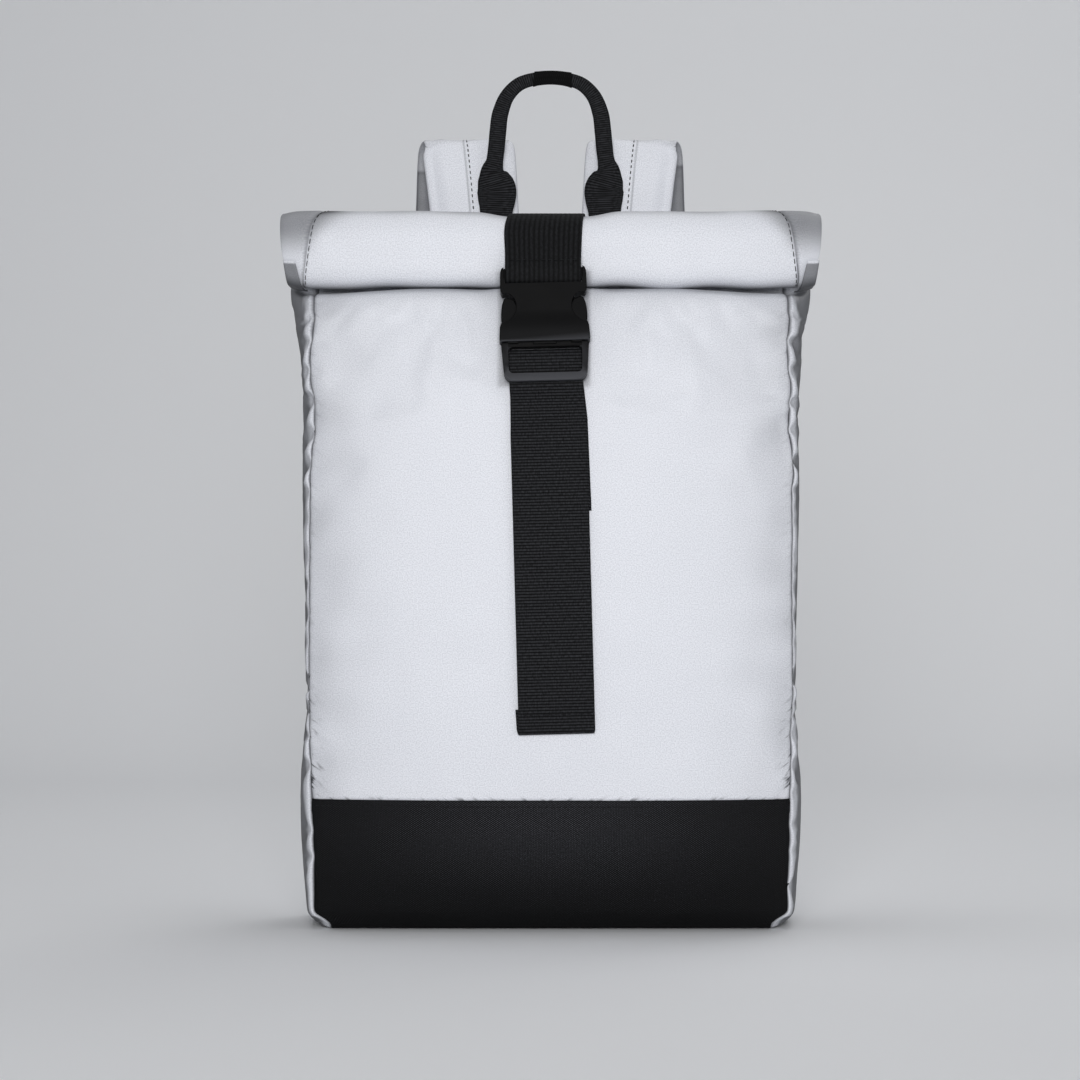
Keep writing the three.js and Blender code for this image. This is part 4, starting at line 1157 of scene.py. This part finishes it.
def makeClosureStrap():
    yoke = np.array(body["shoulder"][2:5], float)
    onYoke = yoke[:, 2:4] + rightOf(yoke[:, 2:4]) * (yoke[:, 7:8] + webLie)
    angles = np.arange(50, 155, 13)
    overRoll = rollMiddle(angles) + rollOutward(angles) * (coil["layer"] + webLie)
    overRoll[:, 1] = liftCrown(closure["x"] + closure["lean"], overRoll[:, 1])
    out, radius = 4.9, 2.9
    up = socket["slot"][1] - 1.5 - web["thick"] / 2 + radius
    down = [fromBuckle(out + radius + 0.3, up + 7), fromBuckle(out + radius, up + 3)]
    sewn = [fromBuckle(out - radius, up + 5), fromBuckle(out - radius, up + 10)]
    points = [*onYoke, *overRoll, *down, *aroundBar(out, up, radius, 0, -180), *sewn]
    line = smoothLine(points, 0.45)
    reached = lengthAlong(line)
    front = np.flatnonzero(line[:, 0] < coil["y"])
    row = front[int(np.argmin(np.abs(line[front, 1] - closure["stitchHeight"])))]
    fold = reached[front[int(np.argmin(line[front, 1]))]]
    crown = reached[int(np.argmax(line[:, 1]))]
    bend = np.linspace(crown - 5, crown + 29, 18)
    drift = (bend, closure["lean"] * (1 - fadeIn(bend, bend[0], bend[-1])))
    short = np.clip(closure["corner"] - np.abs(reached - fold), 0, None)
    inset = closure["corner"] - np.sqrt(closure["corner"] ** 2 - short ** 2)
    inset -= closure["spread"] * bell(reached - crown - 25, 14)
    piece = ribbonPiece("closure_webbing", line, closure["width"], wovenRibs, closure["x"], 0.58, drift,
                        inset=inset)
    dress(piece, ribbedWebbing, "webbing", "closure_strap")
    stitchAcross("closure_stitches", line, row, closure["x"], closure["width"])


def stitchAcross(name, line, row, x, width, transform=None):
    outward = rightOf(line)[row]
    acrossX = np.linspace(-width / 2 + 2, width / 2 - 2, 40)
    at = line[row] + outward * (web["thick"] / 2 + 0.05)
    path = np.stack([x + acrossX, np.full(40, at[0]), np.full(40, at[1])], axis=1)
    up = np.tile([0, *outward], (40, 1))
    piece = stitchRow(name, [(path, up)])
    if transform:
        piece.data.transform(transform)


def makeTailStrap():
    layer = web["thick"] + web["clear"]

    def onPanel(height, count):
        return [frontFace(height) - webLie - count * layer, height]

    out, radius, up = 4.4, 2.8, plug["bar"][1] - 1
    points = [onPanel(h, 0) for h in (tail["anchor"], 300, 325, 345)]
    points += [fromBuckle(out - radius, up - 20), fromBuckle(out - radius, up - 4)]
    points += aroundBar(out, up, radius, 180, 0)
    points += [fromBuckle(out + radius, up - 3), fromBuckle(5, up - 12.8), fromBuckle(4.2, up - 20)]
    points += [onPanel(h, 1) for h in (345, 325, 300, 268, 240, 210, 180, 155)]
    for share in (1, 0.7, 0, -0.7, -1):
        points.append(onPanel(tail["end"] - math.sqrt(1 - share ** 2) * layer / 2, (1 + share) / 2))
    points.append(onPanel(tail["end"] + tail["hem"], 0))
    line = smoothLine(points, 0.44)
    reached = lengthAlong(line)
    length = reached[-1]
    hemFrom = length - tail["hem"]
    drift = ([0, 62, 88, 131, 140, 160, hemFrom - 4, hemFrom + 2, length], tail["drift"])
    inset = np.interp(reached, [60, 90, 133, 165], [0, 1, 1, 0])
    piece = ribbonPiece("tail_webbing", line, closure["width"], wovenRows, drift=drift, inset=inset)
    about = Matrix.Translation(Vector((0, 0, buckleBase.z)))
    aside = Matrix.Translation(Vector((buckle["x"] * millimetre, 0, 0)))
    slanted = aside @ about @ buckleSlant @ about.inverted()
    piece.data.transform(slanted)
    dress(piece, webbing, "webbing", "tail_strap")
    height = tail["end"] + tail["hem"] - 3.5
    elsewhere = (reached < 0.5 * length) | (reached > hemFrom - 3)
    row = int(np.argmin(np.abs(line[:, 1] - height) + 100 * elsewhere))
    stitchAcross("tail_hem_stitches", line, row, 1.2, closure["width"], slanted)


makeClosureStrap()
makeTailStrap()
print("closure webbing made")


# Side-release buckle, modelled flat in its own frame and then set on the front
def plateFrom(outline, low, high):
    # an outline set out on a circle's vertices, filled and drawn up to a plate
    bpy.ops.object.select_all(action="DESELECT")
    bpy.ops.mesh.primitive_circle_add(vertices=len(outline), radius=0.01, fill_type="NGON")
    plate = bpy.context.active_object
    for vertex, (x, up) in zip(plate.data.vertices, outline):
        vertex.co = Vector((x, up, low)) * millimetre
    rise = {"value": (0, 0, (high - low) * millimetre)}
    editWhole(plate, (bpy.ops.mesh.extrude_region_move, {"TRANSFORM_OT_translate": rise}))
    return outwardFaces(plate)


def blockFrom(sides, ups, depths, rounding=0.0):
    spans = np.array([sides, ups, depths], float) * millimetre
    bpy.ops.object.select_all(action="DESELECT")
    bpy.ops.mesh.primitive_cube_add(size=1, location=spans.mean(axis=1))
    block = bpy.context.active_object
    block.scale = spans[:, 1] - spans[:, 0]
    bpy.ops.object.transform_apply(location=True, scale=True)
    if rounding:
        applyModifier(block, "BEVEL", width=rounding * millimetre, segments=3, limit_method="NONE")
    return block


def sortPoints(piece):
    # a cut leaves its points in no fixed order, so they are put in one
    mesh = piece.data
    points = np.array([v.co for v in mesh.vertices])
    order = np.lexsort(points.T)
    rank = np.argsort(order)
    faces = []
    for polygon in mesh.polygons:
        corners = rank[list(polygon.vertices)]
        faces.append(np.roll(corners, -int(np.argmin(corners))).tolist())
    mesh.clear_geometry()
    mesh.from_pydata(points[order].tolist(), [], sorted(faces))


def combine(piece, other, operation):
    applyModifier(piece, "BOOLEAN", object=other, operation=operation, solver="EXACT")
    bpy.data.objects.remove(other)
    sortPoints(piece)


def mergeClose(piece, distance):
    # points that a cut left close together would stop the edges from being rounded
    editWhole(piece, (bpy.ops.mesh.remove_doubles, {"threshold": distance * millimetre}),
              (bpy.ops.mesh.dissolve_degenerate, {"threshold": 0.1 * distance * millimetre}))


def softenEdges(piece, width, angle=40):
    mergeClose(piece, 0.05)
    applyModifier(piece, "BEVEL", width=width * millimetre, segments=3, limit_method="ANGLE",
                  angle_limit=math.radians(angle))
    mergeClose(piece, 0.004)


def finishEdges(piece, width):
    # the last rounding, when every cut is made
    softenEdges(piece, width, 55)
    pickOnly(piece)
    bpy.ops.object.shade_smooth_by_angle(angle=math.radians(50))


def bothSides(right):
    return list(right) + [(-x, up) for x, up in reversed(right)]


def throughPoints(points, count):
    points = np.asarray(points, float)
    reached = lengthAlong(points)
    return [tuple(p) for p in curveThrough(reached, points, np.linspace(0, reached[-1], count))]


def roundedOutline(width, low, high, radius):
    corner = np.linspace(0, math.pi / 2, 7)
    half = width / 2 - radius
    right = [(half + radius * math.sin(a), low + radius - radius * math.cos(a)) for a in corner]
    right += [(half + radius * math.cos(a), high - radius + radius * math.sin(a)) for a in corner]
    return bothSides(right)


def cutAcross(piece, up):
    plane = {"plane_co": (0, up * millimetre, 0), "plane_no": (0, 1, 0)}
    editWhole(piece, (bpy.ops.mesh.bisect, plane))


def paintHighlightPoints(piece, highlightAt):
    # how strongly each point of a moulding takes the painted highlight, by its place on the buckle and how
    # far it stands out
    places = np.array([v.co for v in piece.data.vertices]) / millimetre
    markPoints(piece, "paintedHighlight", highlightAt(np.abs(places[:, 0]), places[:, 1], places[:, 2]))


def setMoulding(piece, name, place, node):
    piece.name = name
    piece.data.transform(place)
    dress(piece, mouldedPlastic, "moulded_plastic", node)


def makeSocket():
    low, high = socket["depth"]
    outline = socket["collar"] + throughPoints(socket["window"], 14) + throughPoints(socket["shoulder"], 9)
    piece = plateFrom(bothSides(outline), low, high - 0.6)
    # the face swells smoothly into the collar
    for up in np.arange(3, 21, 2):
        cutAcross(piece, up)
    for vertex in piece.data.vertices:
        if vertex.co.z > 6 * millimetre:
            vertex.co.z += socket["swell"] * millimetre * float(1 - fadeIn(vertex.co.y / millimetre, 4, 19))
    softenEdges(piece, 1.2)
    combine(piece, blockFrom(*socket["cavity"], 1.2), "DIFFERENCE")
    half = socket["slotHalf"]
    combine(piece, blockFrom((-half, half), socket["slot"], (-3, 20), 0.8), "DIFFERENCE")
    # the bar above the slot is thinner than the plate
    half = socket["barHalf"]
    barBack, barFront = socket["barDepth"]
    for depths in ((barFront, 20), (-6, barBack)):
        combine(piece, blockFrom((-half, half), (socket["slot"][1] - 0.6, 56), depths), "DIFFERENCE")
    finishEdges(piece, 0.3)
    applyModifier(piece, "WEIGHTED_NORMAL", keep_sharp=True)

    # painted highlight along the collar's lower edge, and faintly over the lower face
    def paintedHighlight(x, up, out):
        return (0.6 * fadeIn(-up, 1.2, 1.9) + 0.05 * (1 - fadeIn(up, 0, 14))) * fadeIn(out, 10.6, 11.6)

    paintHighlightPoints(piece, paintedHighlight)
    setMoulding(piece, "buckle_socket_moulding", buckleFrame, "buckle_socket")


def makePlug():
    low, high = plug["depth"]
    half, openLow, openHigh = plug["opening"]
    foot, top = plug["reach"]
    radius = plug["corner"]
    footHalf, topHalf = plug["footHalf"], plug["topHalf"]
    side = [(footHalf - radius + radius * math.sin(a), foot + radius - radius * math.cos(a))
            for a in np.linspace(0, math.pi / 2, 7)]
    side += [(topHalf, top - 0.7), (topHalf - 0.6, top)]
    piece = plateFrom(bothSides(side), low, high)
    softenEdges(piece, 1.4)
    hole = plateFrom(roundedOutline(2 * half, openLow, openHigh, 3.2), -10, 30)
    combine(piece, hole, "DIFFERENCE")
    combine(piece, blockFrom((-half, half), (-30, openLow + 1), (-10, 6.4)), "DIFFERENCE")
    combine(piece, blockFrom((-half, half), (openHigh - 0.6, top + 1), (8, 20)), "DIFFERENCE")
    barLow, barHigh, barBack, barFront = plug["bar"]
    combine(piece, blockFrom((-half - 1, half + 1), (barLow, barHigh), (barBack, barFront), 0.8), "UNION")
    for wide, reach, depths, rounding in plug["tongues"]:
        combine(piece, blockFrom((-wide, wide), (top - 1.1, reach), depths, rounding), "UNION")
    for hand in (-1, 1):
        outer = throughPoints(plug["armOuter"], 16)
        inner = throughPoints(plug["armInner"], 8)
        arm = plateFrom([(hand * x, up) for x, up in outer + inner], *plug["armDepth"])
        softenEdges(arm, 0.9)
        combine(piece, arm, "UNION")
    finishEdges(piece, 0.35)
    applyModifier(piece, "WEIGHTED_NORMAL", keep_sharp=True)

    def paintedHighlight(x, up, out):
        # painted highlight on the end bar's face, the inner corners beside it and, less, the legs
        legs = 0.24 * fadeIn(-up, 3, 6)
        corners = 0.75 * fadeIn(-up, 16, 23) * (1 - fadeIn(x, half + 0.6, half + 2.4))
        return np.maximum(np.maximum(legs, corners), fadeIn(-up, 22.8, 24.4)) * fadeIn(out, 8.4, 9.6)

    for up in (-18, -15):
        cutAcross(piece, up)
    paintHighlightPoints(piece, paintedHighlight)
    setMoulding(piece, "buckle_plug_moulding", buckleFrame, "buckle_plug")


makeSocket()
makePlug()
print("buckle moulded")


# Carry handle of folded webbing, with flat flared ends
handle = {
    # x, y, z, width and thickness, from the sewn end on the left up to the middle of the arch
    "rows": [
        (-35, 55.3, 388, 25, 2.6),
        (-35, 54.3, 402, 25, 2.6),
        (-36.5, 55.3, 445, 23, 2.8),
        (-37.6, 57, 475, 21.6, 3),
        (-37.4, 57.5, 485, 22.8, 3.1),
        (-37.1, 57.8, 492, 25.7, 3.2),
        (-37.2, 58, 500, 26.9, 3.4),
        (-39.2, 58, 508, 22.3, 4),
        (-39.9, 58, 513, 16.5, 5),
        (-38.6, 58, 519, 12.1, 6),
        (-37.3, 58, 529, 11.7, 6.5),
        (-36.3, 58, 540, 11.7, 6.5),
        (-34.6, 58, 552.5, 11.3, 6.5),
        (-29.3, 58, 565.2, 10, 6.3),
        (-19.3, 58, 573.8, 9.2, 6),
        (0, 58, 577.2, 8.6, 5.6),
    ],
    "squareness": 4.5,
    "rowPitch": 1.5,
    "sleeve": 25,  # length of the cloth sleeve on the arch, and how far it has slipped to one side
    "slip": 1.6,
}


def sweptRings(rows, step, sides, squareness, acrossOf):
    # rings of points along a smooth line, each with its own width and thickness
    rows = np.asarray(rows, float)
    reached = lengthAlong(rows[:, :3])
    count = round(reached[-1] / step)
    along = np.linspace(0, reached[-1], count + 1)
    at = curveThrough(reached, rows, along)
    run = unit(np.gradient(at[:, :3], axis=0))
    across = acrossOf(run)
    across = unit(across - run * np.sum(across * run, axis=1, keepdims=True))
    out = np.cross(run, across)
    angle = 2 * np.pi * (np.arange(sides) + 0.5) / sides
    wide = np.sign(np.cos(angle)) * np.abs(np.cos(angle)) ** (2 / squareness)
    deep = np.sign(np.sin(angle)) * np.abs(np.sin(angle)) ** (2 / squareness)
    return along, at, across, out, wide, deep


def makeHandle():
    left = handle["rows"]
    rows = left + [(-x, y, z, wide, thick) for x, y, z, wide, thick in left[-2::-1]]
    frontPlane = np.array([0, -1, 0])
    sides = 48
    along, at, across, out, wide, deep = sweptRings(rows, 0.4, sides, handle["squareness"],
                                                    lambda run: np.cross(frontPlane, run))
    halfWide, halfThick = at[:, 3:4] / 2, at[:, 4:5] / 2
    finer = web["rowPitch"] / handle["rowPitch"]
    relief = 0.7 * wovenRows(along[:, None] * finer, wide[None, :])
    flat = np.abs(deep) > 0.55
    halfThick = np.broadcast_to(halfThick, relief.shape) + np.where(flat, relief, 0)
    # the two folded layers part along the edges
    folded = fadeIn(at[:, 4:5], 3.6, 5.5)
    halfWide = halfWide - folded * 0.9 * bell(deep, 0.25) * (np.abs(wide) > 0.9)
    points = at[:, None, :3] + across[:, None] * (wide * halfWide)[..., None]
    points = points + out[:, None] * (deep * halfThick)[..., None]
    around = np.arange(sides) / sides * 30
    dress(loftPiece("handle_webbing", points, along * finer, around), webbing, "webbing", "carry_handle")
    # a flat sleeve of base cloth over the middle, cut shorter along its upper edge
    run = np.linspace(-0.5, 0.5, 30) * handle["sleeve"]
    reach = along[-1] / 2 + handle["slip"] + run[:, None] * (1.06 - 0.12 * wide)

    def ofHandle(values):
        return np.stack([np.interp(reach, along, column) for column in values.T], axis=-1)

    end = handle["sleeve"] / 2
    proud = 0.4 + 0.15 * fadeIn(np.abs(run), end - 2.4, end - 1.4)[:, None]
    sizes = ofHandle(at[:, 3:5]) / 2 + proud[..., None]
    place = ofHandle(at[:, :3]) + ofHandle(across) * (wide * sizes[..., 0])[..., None]
    place = place + ofHandle(out) * (deep * sizes[..., 1])[..., None]
    dress(loftPiece("handle_sleeve", place, run - run[0], around), blackCloth, "black_cloth")


makeHandle()
print("carry handle made")


# Shoulder straps: padded bars with a turned edge and a topstitched channel along it
shoulder = {
    # x, y, z, width and thickness on the right, from the sewn top over the bend and down the back
    "rows": [
        (46, 59.4, 393, 56, 5),
        (48.5, 61, 440, 58.5, 6.5),
        (52.2, 64, 480, 61, 7),
        (55.5, 66, 517, 63.5, 7),
        (57.8, 73, 532, 64.5, 7),
        (59.5, 81, 523, 66, 7),
        (61, 85, 480, 67, 7),
        (68, 90, 400, 67, 7.5),
        (78, 93, 320, 66, 7.5),
        (90, 91, 240, 62, 7.5),
        (100, 83, 175, 54, 7),
        (104, 77.5, 146, 42, 6),
        (105.5, 75, 134, 27, 3),
    ],
    "flange": 6,
    "flangeThick": 2.4,
    "lap": 2.9,
    "liningSeam": 20,
    "uneven": 0.45,
}


def strapSurface(hand):
    rows = [(hand * x, y, z, wide, thick) for x, y, z, wide, thick in shoulder["rows"]]
    along, at, across, out = sweptRings(rows, 2.0, 8, 3, lambda run: np.array([1.0, 0, 0]) + 0 * run)[:4]
    # even steps across both faces, from edge to edge, and closer ones at the lapped seam and the edges
    lap = shoulder["lap"] / 30
    half = np.concatenate([np.linspace(-1, lap - 0.05, 19), lap + np.array([-0.03, -0.012, 0.012, 0.03]),
                           np.linspace(lap + 0.05, 1, 17)]) * hand
    half = np.sort(np.concatenate([half, [-0.985, 0.985, -0.96, 0.96]]))
    share = np.concatenate([half, half[-2:0:-1]])
    side = np.concatenate([-np.ones(len(half)), np.ones(len(half) - 2)])
    fromBend = (along - along[int(np.argmax(at[:, 2]))])[:, None]
    halfWide = at[:, 3:4] / 2 - 2.2 * bell(fromBend, 5)
    fromEdge = halfWide * (1 - np.abs(share))
    fromFlange = fromEdge - shoulder["flange"]
    crown = fadeIn(fromEdge, 0.6 * shoulder["flange"], 0.6 * shoulder["flange"] + 11)
    halfThick = at[:, 4:5] / 2
    edge = np.minimum(shoulder["flangeThick"] / 2, halfThick) * np.sqrt(fadeIn(fromEdge, -0.1, 1.6))
    channel = 0.5 * bell(fromFlange, 1.1)
    uneven = shoulder["uneven"] * ripple(along[:, None], share * 30 + side * 400, 18, 60, 6)
    uneven = uneven * (1 - 0.8 * bell(fromBend, 22))
    pucker = 0.22 * np.sin(2 * np.pi * along[:, None] / 7.5 + 2 * ripple(along[:, None], 0, 30, 70, 3))
    pucker = pucker * bell(fromFlange, 4)
    height = edge + (halfThick - edge) * crown - channel + (uneven * crown + pucker) * (fromEdge > 0.5)
    # on the outer face one half of the cover laps over the other and is stitched down
    lapped = (1 - fadeIn(share * hand, lap - 0.012, lap + 0.012)) * (side < 0)
    dip = bell(share * hand * halfWide, 2.2) * (side < 0)
    height = height + (0.55 * lapped - 0.45 * dip) * crown
    # a seam across the lining behind the bend
    height = height - 0.8 * bell(fromBend - shoulder["liningSeam"], 1.6) * crown * (side > 0)
    points = at[:, None, :3] + across[:, None] * (share * halfWide)[..., None]
    points = points + out[:, None] * (side * np.maximum(height, 0))[..., None]
    around = lengthAlong(points[len(points) // 2])
    lapLine = bell((share * hand - lap) * halfWide, 0.55) * (side < 0)
    return points, along, around, share, side, out, lapLine


def makeShoulderStraps():
    for side, hand in hands:
        points, along, around, share, face, out, lapLine = strapSurface(hand)
        piece = loftPiece("shoulder_pad_" + side, points, along, around)
        # the lining is greyer than the outer face, partly its own colour and partly painted shade, and
        # painted shade darkens the edges, the lining's seam, the lapped seam and the bend and other faces
        # turned from the front
        bend = along[int(np.argmax(points[:, 0, 2]))]
        fromSeam = (along - bend)[:, None] - shoulder["liningSeam"]
        lining = 0.5 + 0.24 * fadeIn(fromSeam, -1, 1) + 0.2 * bell(fromSeam, 1.2)
        paintedShade = 0.2 * np.exp(-(1 - np.abs(share)) / 0.06) + lining * (face > 0) + 0.5 * lapLine
        paintedShade = paintedShade + 0.16 * fadeIn(1 - np.abs(out[:, 1:2]), 0.12, 0.92)
        markPoints(piece, "paintedShade", np.clip(paintedShade, 0, 1))
        dress(piece, reflectiveCloth, "reflective_cloth", "shoulder_strap_" + side)
        # the thread follows the two columns nearest the middle of the outer face
        outer = np.flatnonzero(face < 0)
        middle = outer[np.argsort(np.abs(share[outer]))[:2]]
        path = points[3:-6, middle].mean(axis=1)
        stitchRow("strap_seam_stitches_" + side, [(path, -out[3:-6])], 2.6, 1.5, 0.8)


makeShoulderStraps()
print("shoulder straps padded")


# Folded corners of cloth under the roll's ends
corner = {"from": 193, "to": 262, "outer": 177.2, "inner": 169.5, "lift": 1.0, "thick": 0.8}


def makeCorners():
    angles = np.linspace(corner["from"], corner["to"], 22)
    down = (angles - corner["from"]) / (corner["to"] - corner["from"])
    outer = corner["outer"] - 4.2 * down
    inner = corner["inner"] - 7.5 * down
    share = np.linspace(0, 1, 9)
    for side, hand in hands:
        x = hand * (inner[:, None] + (outer - inner)[:, None] * share)
        # the fold stands up along its inner edge and is pressed flat outwards
        stand = 1.5 * (1 - share) ** 2 * (0.35 + 0.65 * np.sin(np.pi * down[:, None]))
        lift = coil["layer"] + corner["lift"] + stand
        lift = lift + 0.35 * ripple(down[:, None] * 40, share * 9, 9, 22, 4) - 1.6 * share ** 3
        lift = lift + rollBelly(angles)
        place = rollMiddle(angles)[:, None] + rollOutward(angles)[:, None] * lift[..., None]
        grid = np.concatenate([x[..., None], place], axis=-1)
        piece = gridPiece("corner_fold_" + side, grid)
        # painted shade over the folded corners, greyer further down the roll
        shade = fadeIn(down, 0.03, 0.1) * (0.78 + 0.22 * fadeIn(down, 0.3, 0.6))
        markPoints(piece, "paintedShade", np.broadcast_to(shade[:, None], grid.shape[:2]))
        applyModifier(piece, "SOLIDIFY", thickness=corner["thick"] * millimetre, offset=-1)
        outwardFaces(piece)
        dress(piece, reflectiveCloth, "reflective_cloth")


makeCorners()
print("roll corners folded")


# Ladder locks and the webbing that runs through them
ladder = {
    "width": 34,
    "height": 24,
    "thick": 4,
    "corner": 4,
    "slotHalf": 13.25,
    "slots": [(-8, -2.5), (3.5, 8.5)],
    "place": (106, 70.5, 121),
    "lean": 14,
    "webWidth": 25,
    "turn": 3.2,
    "sewn": [(53.4, 32), (53.8, 50)],  # y and z of the lower webbing where it is sewn to the back
}
lockX, lockY, lockZ = ladder["place"]


def fromLock(out, up):
    lean = math.radians(ladder["lean"])
    y = lockY + up * math.sin(lean) + out * math.cos(lean)
    z = lockZ + up * math.cos(lean) - out * math.sin(lean)
    return [y, z]


def turnOnLock(up, sign):
    angles = np.radians(np.linspace(180, 0, 9))
    return [fromLock(ladder["turn"] * math.cos(a), up + sign * ladder["turn"] * math.sin(a)) for a in angles]


def makeLadderLock(side, hand):
    height, thick = ladder["height"] / 2, ladder["thick"] / 2
    piece = plateFrom(roundedOutline(ladder["width"], -height, height, ladder["corner"]), -thick, thick)
    softenEdges(piece, 1.1)
    half = ladder["slotHalf"]
    for low, high in ladder["slots"]:
        combine(piece, blockFrom((-half, half), (low, high), (-10, 10), 0.8), "DIFFERENCE")
    # a lifted thumb edge along the foot of the lock
    thumb = blockFrom((-half, half), (-height - 1.5, -height + 1.2), (-thick - 1.2, thick - 0.8), 0.9)
    combine(piece, thumb, "UNION")
    finishEdges(piece, 0.3)
    lean = Matrix.Rotation(math.pi / 2 - math.radians(ladder["lean"]), 4, "X")
    place = Vector((hand * lockX, lockY, lockZ)) * millimetre
    setMoulding(piece, "ladder_lock_" + side, Matrix.Translation(place) @ lean, "strap_adjuster_" + side)


def makeLowerWebs(side, hand):
    padEnd = [(28, -2.9, 4.5), (22, -2.4, 4.2), (14.5, -1.2, 3.2)]
    loop = [fromLock(front - webLie, up) for up, front, back in padEnd]
    loop += turnOnLock(ladder["slots"][1][1] + 1, -1)
    loop += [fromLock(back + webLie, up) for up, front, back in padEnd[::-1]]
    lower = ladder["sewn"] + [(55, 64), (59, 84), fromLock(-ladder["turn"], -13)]
    lower += turnOnLock(ladder["slots"][0][0] - 1, 1)
    lower += [fromLock(ladder["turn"], -16), (69.5, 84), (69, 52)]
    webs = (("strap_loop_webbing_", loop, "strap_loop_"), ("strap_tail_webbing_", lower, "strap_web_"))
    for name, points, node in webs:
        piece = ribbonPiece(name + side, smoothLine(points, 0.5), ladder["webWidth"], wovenRows, hand * lockX)
        dress(piece, webbing, "webbing", node + side)


# Where the straps, the handle and the lower webbing are sewn to the back
yoke = {
    "z": 402,
    "width": 25,
    "line": [(92, 53), (84, 53.3), (79, 56), (75.6, 61.4), (70, 63.6), (20, 63.9), (0, 63.2)],
    "inset": 3,
    "box": (9.5, 35, 49),  # half width, foot and top of the box of stitches on the lower webbing
}


def makeYoke():
    half = yoke["line"]
    line = smoothLine([(-x, y) for x, y in half] + half[-2::-1], 0.5)
    piece = ribbonPiece("yoke_webbing", line, yoke["width"], wovenRows, yoke["z"], axes=(2, 0, 1))
    dress(piece, webbing, "webbing")
    away = rightOf(line)
    away = away * np.sign(away[len(line) // 2, 1])
    at = line + away * (web["thick"] / 2 + 0.05)
    up = np.stack([away[:, 0], away[:, 1], 0 * away[:, 0]], axis=1)
    runs = []
    for sign in (-1, 1):
        z = np.full(len(line), yoke["z"] + sign * (yoke["width"] / 2 - yoke["inset"]))
        runs.append((np.stack([at[:, 0], at[:, 1], z], axis=1), up))
    stitchRow("yoke_stitches", runs)


def stitchLowerEnds():
    wide, low, high = yoke["box"]
    sewnY, sewnZ = zip(*ladder["sewn"])
    corners = [(-wide, low), (wide, low), (wide, high), (-wide, high), (-wide, low), (wide, high)]
    runs = []
    for hand in (-1, 1):
        for (x0, z0), (x1, z1) in zip(corners[:-1], corners[1:]):
            share = np.linspace(0, 1, 40)
            z = z0 + (z1 - z0) * share
            y = np.interp(z, sewnZ, sewnY) + web["thick"] / 2 + 0.05
            path = np.stack([hand * lockX + x0 + (x1 - x0) * share, y, z], axis=1)
            runs.append((path, np.tile([0.0, 1.0, 0.0], (40, 1))))
    stitchRow("lower_end_stitches", runs)


for side, hand in hands:
    makeLadderLock(side, hand)
    makeLowerWebs(side, hand)
makeYoke()
stitchLowerEnds()
print("ladder locks and lower webbing made")
